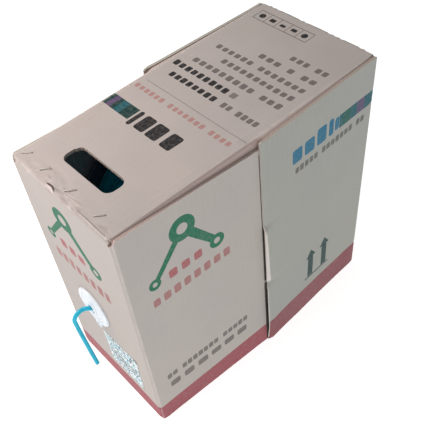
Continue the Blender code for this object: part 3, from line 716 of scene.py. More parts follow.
def both_sides(half):
    """A closed outline from its right half, listed from bottom centre round to top centre."""
    return half + [(-u, v) for u, v in reversed(half)]


ARC_US = [s * (FLAT + CORNER * math.pi / 2 * k / 6) for s in (-1, 1) for k in range(7)]
PLAIN_US = [-FRONT_END + 9.5 * k for k in range(int(2 * FRONT_END / 9.5) + 1)]
PLAIN_US = [u for u in PLAIN_US if not 84 < abs(u) < 104]
PLAIN_VS = [6 + 9.5 * k for k in range(40)]


def front_at(y):
    return SIDE_AT + 195.0 + y


def rear_at(y):
    return SIDE_AT + 195.0 - y


def mirrored(place):
    return lambda y: -place(y)


# --- front wrap: inner side flap, front panel, inner side flap, and the tuck flap
front_top = lambda y: 383.5 - 10.5 * (y + INNER_Y) / INNER_Y if y < 0 else 373.0
half = [(0.0, 0.0), (FRONT_END, 0.0), (FRONT_END, 373.0), (front_at(0), 373.0)]
for y in (-40, -80, -120, -160, -188):
    half.append((front_at(y), front_top(y) + 0.5 * noise.noise(Vector((y / 15, 3, 0)))))
half += [
    (SIDE_AT + 0.6, 383.3), (SIDE_AT - 2.2, 381.2), (FLAT + 1.5, 377.0), (FLAT - 1.0, 374.8),
    (FLAT - 3.4, 374.8), (FLAT - 3.6, TUCK_ARC), (FLAT - 3.6, TUCK_FLAT), (FLAT - 4.6, TUCK_END - 9), (FLAT - 9, TUCK_END), (0.0, TUCK_END),
]
STRIPE_FRONT, STRIPE_SEAM_FRONT, STRIPE_REAR = 31.5, 40.5, 46.5
front_stripe = both_sides([
    (0.0, -1.0), (FRONT_END + 1, -1.0), (FRONT_END + 1, STRIPE_SEAM_FRONT + 1.5),
    (front_at(0), STRIPE_SEAM_FRONT), (SIDE_AT, 34.5), (FLAT, 33.0), (0.0, STRIPE_FRONT),
])
mats, inks = board_set("front_wrap", ["stripe", "green", "red", "brownred", "grey", "gap_shade"], "X", SIDE_RUB_AND_HIGHLIGHT, top=srgb(204, 186, 180))
front_wrap = folded_sheet(
    "front_wrap",
    both_sides(half),
    front_place,
    mats,
    inks,
    prints=[("stripe", front_stripe)] + front_print() + side_front_print(front_at) + side_front_print(mirrored(front_at))
    # painted shade in the gap under the outer flap's edge
    + [("gap_shade", [(s * front_at(-3.7), 3.0), (s * front_at(14), 3.0), (s * front_at(14), 139.0), (s * front_at(-3.4), 139.0)]) for s in (-1, 1)]
    + [("gap_shade", [(s * front_at(-2.9), 141.0), (s * front_at(14), 141.0), (s * front_at(14), 366.0), (s * front_at(-2.7), 366.0)]) for s in (-1, 1)],
    holes=[dense(disc(OUTLET_X, OUTLET_Z, OUTLET_HOLE_R, 72), 4.0)],
    us=PLAIN_US + ARC_US,
    vs=PLAIN_VS + [TUCK_ARC + 4.0 * math.pi / 2 * k / 5 for k in range(6)] + [TUCK_FLAT + 9.6, TUCK_FLAT + 19.2],
)
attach(front_wrap, "carton")
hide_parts("front_panel", "front_flap_left", "front_flap_right", "front_tuck_flap")

# --- rear wrap: outer side flap, rear panel, outer side flap
rear_top = lambda y: 384.0 + 0.7 * (INNER_Y - y) / (INNER_Y - SEAM_Y)
half = [(0.0, 0.0), (REAR_END, 0.0)]
for z in (20, 50, 80, 110, 130):
    half.append((REAR_END + 0.4 * noise.noise(Vector((z / 12, 1, 1))) - 0.4, z))
half += [(REAR_END - 2.4, 134.0), (REAR_END - 2.6, 140.0), (REAR_END, 143.5)]
for z in (170, 200, 230, 246, 280, 320, 360):
    half.append((REAR_END + 0.3 * noise.noise(Vector((z / 12, 1, 1))) - 0.3, z))
half += [(REAR_END, 383.0), (REAR_END - 1.8, 384.7)]
half += [(rear_at(y), rear_top(y) - 0.25 - 0.25 * noise.noise(Vector((y / 15, 9, 0)))) for y in (40, 90, 140, 185)]
half += [
    (SIDE_AT, 383.9), (FLAT + 3.0, 382.0), (FLAT, 380.0), (FLAT - 3.2, LID_UNDER - 1), (FLAT - 3.6, LID_UNDER),
    (FLAT - 3.6, LID_UNDER + 4 * math.pi / 2), (0.0, LID_UNDER + 4 * math.pi / 2),
]
rear_stripe = both_sides([
    (0.0, -1.0), (REAR_END + 1, -1.0), (REAR_END + 1, STRIPE_REAR), (SIDE_AT, STRIPE_REAR + 0.8), (0.0, STRIPE_REAR),
])
mats, inks = board_set(
    "rear_wrap", ["rear_stripe_shaded", "blue", "green", "teal", "purple", "grey", "deepgreen", "deepteal", "red", "brownred", "peel_and_highlight"], "X", SIDE_RUB_AND_HIGHLIGHT,
    liner=REAR_LINER_SHADED,
)
rear_wrap = folded_sheet(
    "rear_wrap",
    both_sides(half),
    rear_place,
    mats,
    inks,
    prints=[("rear_stripe_shaded", rear_stripe)] + emblem(0, 280)
    + tagged("red", row(-28, 26, 272, 287, [3], 21, 0.30)) + tagged("brownred", row(-60, 60, 232, 250, [8], 22, 0.30))
    + side_rear_print(rear_at) + side_rear_print(mirrored(rear_at))
    + [("peel_and_highlight", [(s * (REAR_END + 1), 142.0), (s * (REAR_END - 5.6), 143.6), (s * (REAR_END - 4.6), 170.0), (s * (REAR_END - 3.0), 215.0), (s * (REAR_END - 1.2), 249.0), (s * (REAR_END + 1), 249.0)]) for s in (-1, 1)]
    + [("peel_and_highlight", [(s * (REAR_END + 1), 6.0), (s * (REAR_END - 1.5), 6.0), (s * (REAR_END - 1.9), 70.0), (s * (REAR_END - 1.4), 134.0), (s * (REAR_END + 1), 134.0)]) for s in (-1, 1)],
    us=[u for u in PLAIN_US if abs(u) < REAR_END - 12] + ARC_US + [s * (REAR_END - d) for s in (-1, 1) for d in (1.6, 3.4, 5.4, 7.8, 11.0)],
    vs=PLAIN_VS + [133, 137, 141, 144, 146, 149, 243, 247, 251, 254] + [LID_UNDER + 4.0 * math.pi / 2 * k / 5 for k in range(6)],
)
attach(rear_wrap, "carton")
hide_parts("rear_panel", "rear_flap_left", "rear_flap_right")


# --- lid: top panel and its two down-turned flanges
def hand_hole():
    """A slot with well-rounded corners; its left end is nicked where the board tore."""
    cx, cy, w, h, r = -2.4, -149.5, 86.8, 28.0, 10.0
    points = []
    for sx, sy, start in ((1, 1, 0), (-1, 1, 90), (-1, -1, 180), (1, -1, 270)):
        for k in range(13):
            a = math.radians(start + 90 * k / 12)
            points.append((cx + sx * (w / 2 - r) + r * math.cos(a), cy + sy * (h / 2 - r) + r * math.sin(a)))
    out = []
    for x, y in dense(points, 2.0):
        rag = 0.18 * noise.noise(Vector((x / 2.5, y / 2.5, 0)))
        if x < cx - 18:
            torn = smooth(cx - 16, cx - 34, x) * smooth(cy - 8, cy + 6, y)
            rag += torn * 1.9 * noise.noise(Vector((x / 3.1, y / 3.1, 5)))
        away = Vector((x - cx, (y - cy) * 2.4)).normalized()
        out.append((x + away.x * rag, y + away.y * rag))
    return out


def leg_slot(x, end):
    """A small slit round one staple leg."""
    c, s = math.cos(STAPLE_ANGLE), math.sin(STAPLE_ANGLE)
    cx, cy = x + end * 6.15 * c, STAPLE_Y + end * 6.15 * s
    out = []
    for a, b in ((0.55, 0.85), (-0.55, 0.85), (-0.55, -0.85), (0.55, -0.85)):
        out.append((cx + a * c - b * s, cy + a * s + b * c))
    return out


nick = [(-26.0, LIP), (-22.0, LIP + 1.4), (-17.0, LIP + 3.0), (-12.5, LIP + 2.6), (-8.0, LIP + 0.9), (-4.0, LIP)]
right_half = [
    (22.0, LIP), (34.0, LIP + 2.2), (60.0, LIP + 2.9), (LID_FLAT - 2.6, LIP + 3.6), (LID_FLAT - 0.4, -199.6), (LID_FLAT + 1.2, -197.4),
    (LID_SIDE - 0.6, -195.9), (LID_SIDE, -195.7), (LID_SIDE + 7, -195.7), (LID_SIDE + 36, -183.7), (LID_SIDE + 36, 176.0),
    (LID_SIDE + 7, 190.0), (LID_SIDE, 190.3), (LID_FLAT, 195.7),
]
left_half = [(-u, v) for u, v in reversed(right_half)][:-2] + [(-60.0, LIP + 0.2)]
lid_outline = [(-4.0, LIP)] + right_half + left_half + nick[:-1]
lid_us = [-123 + 9.5 * k for k in range(27)]
lid_us = [u for u in lid_us if not 84 < abs(u) < 98]
lid_us += [s * (LID_FLAT + LID_FOLD * math.pi / 2 * k / 5) for s in (-1, 1) for k in range(6)] + [s * 80.0 for s in (-1, 1)]
lid_us += [-34, -31, -28, -25, -22, -19.5, -17, -14.5, -12, -9, -6, -3, 3, 7, 14, 18]
lid_vs = [NOSE_AT - NOSE_R * math.pi / 2 * k / 5 for k in range(6)] + [-194.6, -192, -189.4, -186.6, -184, -181, -178, -175, -171]
lid_vs += [-163 + 9.5 * k for k in range(38)]
mats, inks = board_set(
    "lid", ["dark", "deepgreen", "teal", "purple", "palered", "palegrey", "grey", "peel_and_highlight", "shade"], "X", LID_RUB_AND_HIGHLIGHT, LID_BAND, LID_LINER, (-193.0, -184.0)
)
lid_sheet = folded_sheet(
    "lid_sheet",
    lid_outline,
    lid_place,
    mats,
    inks,
    prints=lid_print(),
    holes=[hand_hole()] + [leg_slot(x, e) for x in STAPLE_X for e in (-1, 1)],
    us=lid_us,
    vs=lid_vs,
)
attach(lid_sheet, "lid")
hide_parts("top_panel", "top_flange_left", "top_flange_right")

# --- bottom sheet and its up-turned flanges
bottom_half = [
    (0.0, -195.7), (BOTTOM_FLAT, -195.7), (BOTTOM_SIDE, -190.0), (BOTTOM_SIDE + 6, -190.0), (BOTTOM_SIDE + 35, -178.0),
    (BOTTOM_SIDE + 35, 178.0), (BOTTOM_SIDE + 6, 190.0), (BOTTOM_SIDE, 190.0), (BOTTOM_FLAT, 195.7), (0.0, 195.7),
]
mats, inks = board_set("bottom", [], "X", ())
bottom_sheet = folded_sheet(
    "bottom_sheet", both_sides(bottom_half), bottom_place, mats, inks,
    us=[s * (BOTTOM_FLAT + BOTTOM_FOLD * math.pi / 2 * k / 5) for s in (-1, 1) for k in range(6)] + [-60, -20, 20, 60],
    vs=[-190 + 20 * k for k in range(20)],
)
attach(bottom_sheet, "carton")
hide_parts("bottom_panel", "bottom_flange_left", "bottom_flange_right")

# --- inner support boards with the axle holes
for side, sign in (("left", -1), ("right", 1)):
    def liner_place(u, v, sign=sign):
        n = 0.25 * rumple(sign * 2, u, v, 80.0, 1.0)
        return Vector((sign * (87.4 - n), u, v)), Vector((sign * (83.4 - n), u, v))

    s_mats = [
        paper("liner_board_%s_out" % side, INSIDE, flute_axis="X", flute_depth=0.2, seed=1.0),
        paper("liner_board_%s_in" % side, srgb(206, 208, 218), flute_axis="X", flute_depth=0.2, seed=2.0),
        cut_edge("liner_board_%s_cut_edge" % side, KRAFT),
    ]
    liner = folded_sheet(
        "support_board_" + side,
        [(-186, 4.3), (186, 4.3), (188, 8), (188, 366), (182, 372), (-182, 372), (-188, 366), (-188, 8)],
        liner_place, s_mats, {}, holes=[dense(disc(0, AXLE_Z, 18.0, 48), 3.0)],
        us=[-180 + 12 * k for k in range(31)], vs=[12 + 12 * k for k in range(30)],
    )
    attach(liner, "carton")
    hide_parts("liner_board_" + side)


# ------------------------------------------------------------------ smaller pieces
def new_object(name, bm, mats, angle=35):
    mesh = bpy.data.meshes.new(name)
    bmesh.ops.scale(bm, vec=(MM, MM, MM), verts=bm.verts)
    bm.to_mesh(mesh)
    bm.free()
    for m in mats:
        mesh.materials.append(m)
    mesh.shade_smooth()
    mesh.set_sharp_from_angle(angle=math.radians(angle))
    obj = bpy.data.objects.new(name, mesh)
    bpy.context.scene.collection.objects.link(obj)
    return obj


def turned(profile, axis, centre, segments=96):
    """A ring or disc from (radius, along) points; closed profiles only, or ends on the axis."""
    bm = bmesh.new()
    if axis == "X":
        verts = [bm.verts.new((a, 0, r)) for r, a in profile]
        direction = (1, 0, 0)
    else:
        verts = [bm.verts.new((r, a, 0)) for r, a in profile]
        direction = (0, 1, 0)
    on_axis = profile[0][0] == 0
    pairs = list(zip(verts, verts[1:])) + ([] if on_axis else [(verts[-1], verts[0])])
    edges = [bm.edges.new(p) for p in pairs]
    bmesh.ops.spin(bm, geom=verts + edges, cent=(0, 0, 0), axis=direction, angle=2 * math.pi, steps=segments, use_merge=True)
    bmesh.ops.remove_doubles(bm, verts=bm.verts, dist=1e-4)
    bmesh.ops.recalc_face_normals(bm, faces=bm.faces)
    bmesh.ops.translate(bm, vec=centre, verts=bm.verts)
    return bm


def fillet(points, radii, steps=4):
    """A closed profile with its corners rounded."""
    out, n = [], len(points)
    for i, (p, r) in enumerate(zip(points, radii)):
        if r <= 0:
            out.append(p)
            continue
        p = Vector(p)
        a, b = Vector(points[i - 1]) - p, Vector(points[(i + 1) % n]) - p
        reach = min(r, a.length * 0.45, b.length * 0.45)
        q0, q1 = p + a.normalized() * reach, p + b.normalized() * reach
        for k in range(steps + 1):
            t = k / steps
            out.append(tuple(q0 * (1 - t) ** 2 + p * 2 * t * (1 - t) + q1 * t * t))
    return out


def tube(points, radius, sides=20):
    """A closed round tube along points, with flat caps."""
    bm = bmesh.new()
    points = [Vector(p) for p in points]
    tangents = []
    for i in range(len(points)):
        a, b = points[max(0, i - 1)], points[min(len(points) - 1, i + 1)]
        tangents.append((b - a).normalized())
    up = Vector((1, 0, 0)) if abs(tangents[0].x) < 0.8 else Vector((0, 0, 1))
    rings = []
    for p, t in zip(points, tangents):
        up = (up - t * up.dot(t)).normalized()
        across = t.cross(up)
        r = radius(len(rings)) if callable(radius) else radius
        rings.append([
            bm.verts.new(p + (up * math.cos(2 * math.pi * k / sides) + across * math.sin(2 * math.pi * k / sides)) * r)
            for k in range(sides)
        ])
    for a, b in zip(rings, rings[1:]):
        for k in range(sides):
            bm.faces.new((a[k], a[(k + 1) % sides], b[(k + 1) % sides], b[k]))
    bm.faces.new(rings[0][::-1])
    bm.faces.new(rings[-1])
    bmesh.ops.recalc_face_normals(bm, faces=bm.faces)
    return bm


def moulded(name, base, roughness=0.35, grain=0.05, fleck=0.0, **more):
    """Moulded plastic: fine grain, faint flow marks and handling marks in the gloss."""
    s = Shader(name)
    here = s.place()
    flow = s.noise(s.place((1, 1, 0.3)), 60.0, 3.0, 0.5, 0.6)
    fine = s.noise(here, 1800.0, 2.0)
    colour = s.mix(s.ramp(flow, 0.3, 0.7), tuple(c * 0.96 for c in base), tuple(min(1, c * 1.03) for c in base))
    dust = s.ramp(s.noise(here, 240.0, 4.0, 0.7), 0.58, 0.75, 0.0, fleck)
    colour = s.mix(dust, colour, srgb(170, 160, 150))
    rough = s.ramp(s.noise(here, 90.0, 4.0, 0.6), 0.35, 0.7, roughness - grain, roughness + grain * 1.6)
    return s.finish(colour, rough, fine, 0.0002, 0.25, **more)


def steel(name):
    s = Shader(name)
    drawn = s.noise(s.place((2600, 2600, 300), (0, 0, -STAPLE_ANGLE)), 1.0, 2.0)
    spots = s.ramp(s.noise(s.place(), 900.0, 3.0, 0.6), 0.55, 0.7)
    colour = s.mix(spots, srgb(208, 204, 200), srgb(150, 132, 118))
    return s.finish(colour, s.ramp(drawn, 0.3, 0.7, 0.30, 0.48), drawn, 0.0001, 0.4, Metallic=s.ramp(spots, 0, 1, 0.75, 0.5))


def jacket_material(name, base=None):
    """Extruded cable jacket: faint length-wise draw lines and scuffs."""
    s = Shader(name)
    here = s.place()
    base = base or srgb(30, 196, 228)
    cloud = s.noise(here, 45.0, 3.0)
    colour = s.mix(s.ramp(cloud, 0.3, 0.7), tuple(c * 0.92 for c in base), tuple(min(1, c * 1.05) for c in base))
    scuff = s.ramp(s.noise(here, 300.0, 4.0, 0.7), 0.62, 0.75, 0.0, 0.22)
    colour = s.mix(scuff, colour, srgb(190, 225, 232))
    rough = s.ramp(s.noise(here, 120.0, 3.0), 0.3, 0.7, 0.30, 0.46)
    return s.finish(colour, rough, s.noise(here, 1200.0, 2.0), 0.0002, 0.3, Subsurface_Weight=0.04, Subsurface_Radius=(0.2, 0.6, 1.0), Subsurface_Scale=0.002)


WHITE = moulded("white_plastic", srgb(234, 244, 254), 0.34, 0.05, 0.10, Subsurface_Weight=0.12, Subsurface_Radius=(1.0, 1.0, 1.0), Subsurface_Scale=0.003)
BLACK = moulded("black_plastic", srgb(38, 38, 40), 0.45, 0.06, 0.25)
JACKET = jacket_material("cable_jacket")

# --- outlet bezel with its nozzle and parking lug
FACE = -HALF_L
profile = [
    (31.0, FACE - 0.3), (31.0, FACE - 2.3), (29.6, FACE - 3.3), (24.5, FACE - 3.45), (24.0, FACE - 3.0), (22.6, FACE - 3.0),
    (22.1, FACE - 3.5), (13.8, FACE - 4.1), (12.0, FACE - 5.4), (11.0, FACE - 6.0),
    (8.0, FACE - 6.0), (6.7, FACE - 5.0), (6.7, FACE - 1.6), (9.0, FACE - 0.6), (18.2, FACE - 0.6), (18.2, FACE + 12.0),
    (21.6, FACE + 12.0), (21.6, FACE - 0.3),
]
radii = [0.2, 0.8, 1.0, 0.3, 0.4, 0.4, 0.3, 1.4, 1.2, 1.0, 1.0, 1.0, 0.5, 0.4, 0.4, 0.5, 0.5, 0.2]
bezel = new_object("outlet_bezel_detailed", turned(fillet(profile, radii, 3), "Y", (OUTLET_X, 0, OUTLET_Z), 112), [WHITE], 30)


def lug_outline(r, centre, top, steps=20):
    pts = [(OUTLET_X + r, top)]
    pts += [(OUTLET_X + r * math.cos(-math.pi * k / steps), centre + r * math.sin(-math.pi * k / steps)) for k in range(steps + 1)]
    return pts + [(OUTLET_X - r, top)]


def extruded(outline, y0, y1):
    bm = bmesh.new()
    face = bm.faces.new([bm.verts.new((x, y0, z)) for x, z in outline])
    grown = bmesh.ops.extrude_face_region(bm, geom=[face])
    bmesh.ops.translate(bm, vec=(0, y1 - y0, 0), verts=[g for g in grown["geom"] if isinstance(g, bmesh.types.BMVert)])
    bmesh.ops.recalc_face_normals(bm, faces=bm.faces)
    return bm


def combine(obj, bm, operation):
    """Joins a shape to obj, or cuts it from obj, and leaves only the result."""
    other = new_object("tool", bm, [])
    mod = obj.modifiers.new("shape", "BOOLEAN")
    mod.operation, mod.solver, mod.object = operation, "EXACT", other
    graph = bpy.context.evaluated_depsgraph_get()
    made = bpy.data.meshes.new_from_object(obj.evaluated_get(graph))
    obj.modifiers.remove(mod)
    bpy.data.objects.remove(other, do_unlink=True)
    obj.data = made
    made.shade_smooth()
    made.set_sharp_from_angle(angle=math.radians(32))


LUG_R, LUG_Z = 7.0, OUTLET_Z - 31.0 - 13.0 + 7.0
lug = extruded(lug_outline(LUG_R, LUG_Z, OUTLET_Z - 27.0), FACE - 2.6, FACE - 0.3)
bmesh.ops.bevel(lug, geom=[e for e in lug.edges if all(v.co.y < FACE - 2.5 for v in e.verts)], offset=0.7, segments=2, affect="EDGES")
combine(bezel, lug, "UNION")
combine(bezel, turned([(0, FACE - 8), (3.4, FACE - 8), (3.4, FACE + 4), (0, FACE + 4)], "Y", (OUTLET_X, 0, LUG_Z), 40), "DIFFERENCE")
for k in range(6):
    a = 2 * math.pi * (k + 0.5) / 6
    cx, cz = OUTLET_X + 17.3 * math.cos(a), OUTLET_Z + 17.3 * math.sin(a)
    combine(bezel, turned([(0, FACE - 7.0), (1.5, FACE - 7.0), (1.5, FACE - 3.3), (0, FACE - 3.3)], "Y", (cx, 0, cz), 20), "DIFFERENCE")
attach(bezel, "carton")
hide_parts("outlet_bezel")

lock = new_object(
    "outlet_lock_ring_detailed",
    turned(
        fillet([(22.1, -195.7), (29.0, -195.7), (29.0, -193.4), (27.6, -192.2), (22.1, -192.2)], [0.3, 0.4, 0.8, 0.8, 0.4]),
        "Y", (OUTLET_X, 0, OUTLET_Z), 96,
    ),
    [WHITE],
)
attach(lock, "carton")
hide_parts("outlet_lock_ring")

# --- staples: flat wire with rounded shoulders, straight legs
STAPLE_STEEL = steel("staple_steel")
for number, x in enumerate(STAPLE_X, 1):
    half_crown, low, high = 6.5 - 0.35, 375.5, BOX_H + 0.65
    path = [(-half_crown, low)]
    path += [(-half_crown, low + (high - 1.0 - low) * k / 4) for k in range(1, 5)]
    path += [(-half_crown + 1.0 * (1 - math.cos(t)), high - 1.0 + 1.0 * math.sin(t)) for t in (0.4, 0.8, 1.2, 1.57)]
    path += [(-half_crown + 1.0 + (2 * half_crown - 2.0) * k / 6, high - 0.05 * math.sin(math.pi * k / 6)) for k in range(1, 6)]
    path += [(-a, b) for a, b in reversed(path[:9])]
    bm = tube([(a, 0, b) for a, b in path], 0.35, 12)
    for v in bm.verts:
        v.co.y *= 1.8
    c, s = math.cos(STAPLE_ANGLE), math.sin(STAPLE_ANGLE)
    bmesh.ops.transform(bm, matrix=Matrix.Translation((x, STAPLE_Y, 0)) @ Matrix.Rotation(STAPLE_ANGLE, 4, "Z"), verts=bm.verts)
    staple = new_object("staple_wire_%d" % number, bm, [STAPLE_STEEL], 50)
    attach(staple, "lid")
    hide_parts("staple_%d" % number)


# --- cable winding: turns lie side by side, each layer's top showing as a ridge
def winding():
    pitch, turns, r_low, r_top, half_w = 6.0, 24, 33.3, 153.0, 72.0
    around, per = 120, 8
    bm = bmesh.new()
    columns = []
    for i in range(around):
        a = 2 * math.pi * i / around
        ring = []
        for k in range(turns * per + 1):
            x = -half_w + 2 * half_w * k / (turns * per)
            phase = (x / pitch - i / around) % 1.0
            bump = math.sqrt(max(0.0, 1 - (2 * phase - 1) ** 2)) * CABLE_D / 2
            edge = smooth(0, 3, half_w - abs(x))
            dip = 0.5 * noise.noise(Vector((x / 25, math.cos(a) * 2, math.sin(a) * 2)))
            ring.append((x, r_top - CABLE_D / 2 + bump * edge - 0.5 + dip))
        columns.append([bm.verts.new((x, r * math.sin(a), AXLE_Z - r * math.cos(a))) for x, r in ring])
    low = []
    for i in range(around):
        a = 2 * math.pi * i / around
        low.append([bm.verts.new((x, r_low * math.sin(a), AXLE_Z - r_low * math.cos(a))) for x in (-half_w, half_w)])
    for i in range(around):
        j = (i + 1) % around
        for k in range(turns * per):
            bm.faces.new((columns[i][k], columns[i][k + 1], columns[j][k + 1], columns[j][k]))
        bm.faces.new((low[i][0], low[i][1], low[j][1], low[j][0]))
        bm.faces.new((low[i][0], columns[i][0], columns[j][0], low[j][0]))
        bm.faces.new((low[i][1], columns[i][-1], columns[j][-1], low[j][1]))
    bmesh.ops.recalc_face_normals(bm, faces=bm.faces)
    return bm


wound = new_object("cable_winding_turns", winding(), [JACKET], 60)
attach(wound, "spool")
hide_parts("cable_winding")


# --- cable, outside and inside
def smooth_route(knots, spacing):
    """Points along a centripetal Catmull-Rom curve through the knots."""
    knots = [Vector(k) for k in knots]
    pts = [knots[0] * 2 - knots[1]] + knots + [knots[-1] * 2 - knots[-2]]
    fine = []
    for i in range(1, len(pts) - 2):
        p0, p1, p2, p3 = pts[i - 1 : i + 3]
        t0 = 0.0
        t1 = t0 + (p1 - p0).length ** 0.5
        t2 = t1 + (p2 - p1).length ** 0.5
        t3 = t2 + (p3 - p2).length ** 0.5
        for k in range(40):
            t = t1 + (t2 - t1) * k / 40
            a1 = p0 * ((t1 - t) / (t1 - t0)) + p1 * ((t - t0) / (t1 - t0))
            a2 = p1 * ((t2 - t) / (t2 - t1)) + p2 * ((t - t1) / (t2 - t1))
            a3 = p2 * ((t3 - t) / (t3 - t2)) + p3 * ((t - t2) / (t3 - t2))
            b1 = a1 * ((t2 - t) / (t2 - t0)) + a2 * ((t - t0) / (t2 - t0))
            b2 = a2 * ((t3 - t) / (t3 - t1)) + a3 * ((t - t1) / (t3 - t1))
            fine.append(b1 * ((t2 - t) / (t2 - t1)) + b2 * ((t - t1) / (t2 - t1)))
    fine.append(knots[-1])
    total = sum((b - a).length for a, b in zip(fine, fine[1:]))
    count = max(8, round(total / spacing))
    out, walked, target = [fine[0]], 0.0, total / count
    for a, b in zip(fine, fine[1:]):
        step = (b - a).length
        while walked + step >= target - 1e-9 and len(out) < count:
            out.append(a.lerp(b, (target - walked) / step))
            target += total / count
        walked += step
    out.append(fine[-1])
    return out, total


CABLE_RISE = math.radians(40.0)       # how steeply the cable crosses the nozzle
CABLE_RUN, CABLE_BEND_R, CABLE_HANG, CABLE_DRIFT = 7.7, 12.0, 76.0, 22.6
EXIT_Y = -HALF_L - 6.4
nozzle = Vector((OUTLET_X, FACE - 3.4, OUTLET_Z))
outward = Vector((0.0, -math.cos(CABLE_RISE), math.sin(CABLE_RISE)))
cut_at = (EXIT_Y - nozzle.y) / outward.y
cable_exit = nozzle + outward * cut_at


def free_route():
    """Straight on from the nozzle, over in one bend, and down to the cut end."""
    knots = []
    turn = CABLE_RISE + math.pi / 2
    bend_to = CABLE_RUN + CABLE_BEND_R * turn
    total, count = bend_to + CABLE_HANG, 26
    for i in range(count + 1):
        along = total * i / count
        straight = min(along, CABLE_RUN)
        out, up = straight * math.cos(CABLE_RISE), straight * math.sin(CABLE_RISE)
        bent = (min(max(along, CABLE_RUN), bend_to) - CABLE_RUN) / CABLE_BEND_R
        out += CABLE_BEND_R * (math.sin(CABLE_RISE) - math.sin(CABLE_RISE - bent))
        up += CABLE_BEND_R * (math.cos(CABLE_RISE - bent) - math.cos(CABLE_RISE))
        hung = max(0.0, along - bend_to)
        up -= hung
        drift = CABLE_DRIFT * (hung / CABLE_HANG) ** 1.25
        knots.append((cable_exit.x + drift, cable_exit.y - out, cable_exit.z + up))
    return knots


points, cable_length = smooth_route(free_route(), 2.0)
curve = bpy.data.curves.new("cable_free", "CURVE")
curve.dimensions = "3D"
curve.bevel_depth = CABLE_D / 2 * MM * 0.995
curve.bevel_resolution = 6
curve.use_fill_caps = True
spline = curve.splines.new("POLY")
spline.points.add(len(points) - 1)
for slot_point, p in zip(spline.points, points):
    slot_point.co = (*(p * MM), 1.0)
curve.materials.append(JACKET)
cable = bpy.data.objects.new("cable_free", curve)
bpy.context.scene.collection.objects.link(cable)
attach(cable, "carton")
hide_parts("cable_free_end")

# the cut end: four twisted pairs, flush but for a fraction of a millimetre
tip, before = points[-1], points[-3]
heading = (tip - before).normalized()
across = heading.cross(Vector((0, 0, 1))).normalized()
other = heading.cross(across)
wire_mats = [
    moulded("wire_" + n, srgb(*c), 0.4) for n, c in (
        ("blue", (40, 80, 190)), ("orange", (225, 120, 40)), ("green", (40, 140, 70)), ("brown", (110, 66, 40)), ("white", (225, 225, 220)),
    )
]
for k in range(4):
    a = math.pi / 4 + k * math.pi / 2
    bm_all = bmesh.new()
    for m, twist in enumerate((0.5, -0.5)):
        centre = tip + (across * math.cos(a) + other * math.sin(a)) * 1.35
        side_step = (across * -math.sin(a) + other * math.cos(a)) * twist * 0.95
        piece = tube([centre + side_step - heading * 0.8, centre + side_step, centre + side_step + heading * 0.75], 0.45, 10)
        mesh = bpy.data.meshes.new("wire")
        for f in piece.faces:
            f.material_index = m
        piece.to_mesh(mesh)
        piece.free()
        bm_all.from_mesh(mesh)
        bpy.data.meshes.remove(mesh)
    pair = new_object("cable_pair_%d" % (k + 1), bm_all, [wire_mats[k], wire_mats[4]], 40)
    pair.parent = cable

run_r = 153.0 + CABLE_D / 2 + 0.4
mouth = nozzle - outward * 17.5
reach = math.hypot(mouth.y, mouth.z - AXLE_Z)
lean = math.atan2(AXLE_Z - mouth.z, -mouth.y) + math.acos(run_r / reach)
leave = Vector((OUTLET_X, -run_r * math.cos(lean), AXLE_Z - run_r * math.sin(lean)))
inside_points, _ = smooth_route(
    [
        leave, leave.lerp(mouth, 0.35), leave.lerp(mouth, 0.70), mouth,
        nozzle - outward * 9.0, nozzle, nozzle + outward * (cut_at - 0.6),
    ],
    2.5,
)
lead = new_object("cable_lead_detailed", tube(inside_points, CABLE_D / 2 * 0.995, 22), [JACKET], 60)
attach(lead, "carton")
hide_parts("cable_lead_inside")


# --- the rest of the spool and axle keep their solids and get real finishes
def hardboard(name):
    s = Shader(name)
    here = s.place((1, 1, 1))
    chips = s.noise(here, 380.0, 4.0, 0.7)
    cloud = s.noise(here, 22.0, 3.0)
    colour = s.mix(s.ramp(chips, 0.35, 0.65), srgb(92, 104, 128), srgb(112, 122, 146))
    colour = s.mix(s.ramp(cloud, 0.3, 0.7, 0.0, 0.35), colour, srgb(80, 88, 110))
    return s.finish(colour, s.ramp(cloud, 0.3, 0.7, 0.55, 0.72), chips, 0.0003, 0.4)


def spiral_tube(name):
    """Spiral-wound card tube."""
    s = Shader(name)
    here = s.place()
    split = s.node("ShaderNodeSeparateXYZ", {0: here})
    up_z = s.math("SUBTRACT", split.outputs["Z"], AXLE_Z * MM)
    angle = s.math("ARCTAN2", split.outputs["Y"], up_z)
    turns = s.math("FRACT", s.math("ADD", s.math("MULTIPLY", split.outputs["X"], 14.0), s.math("MULTIPLY", angle, 1 / (2 * math.pi))))
    seam = s.ramp(s.math("ABSOLUTE", s.math("SUBTRACT", turns, 0.5)), 0.47, 0.49)
    fibre = s.noise(s.place((200, 900, 900)), 1.0, 3.0)
    colour = s.mix(fibre, srgb(150, 116, 84), srgb(186, 152, 116))
    colour = s.mix(s.math("MULTIPLY", seam, 0.6), colour, srgb(96, 72, 50))
    return s.finish(colour, 0.85, s.math("SUBTRACT", fibre, seam), 0.0003, 0.4)


def give(node, material):
    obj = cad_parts[node]
    while len(obj.material_slots) > 1:
        break
    for index in range(len(obj.material_slots)):
        obj.material_slots[index].material = material
    if not obj.material_slots:
        obj.data.materials.append(material)


HARD = hardboard("hardboard_flange")
for side in ("left", "right"):
    give("spool_flange_" + side, HARD)
    give("hub_bush_" + side, BLACK)
    give("axle_cap_" + side, BLACK)
give("spool_core_tube", spiral_tube("core_tube_card"))
give("axle_tube", spiral_tube("axle_tube_card"))

# --- a plain paper label on the front, with greeked lines only
LABEL_X, LABEL_Z = (-8.0, 64.0), (45.5, 119.5)


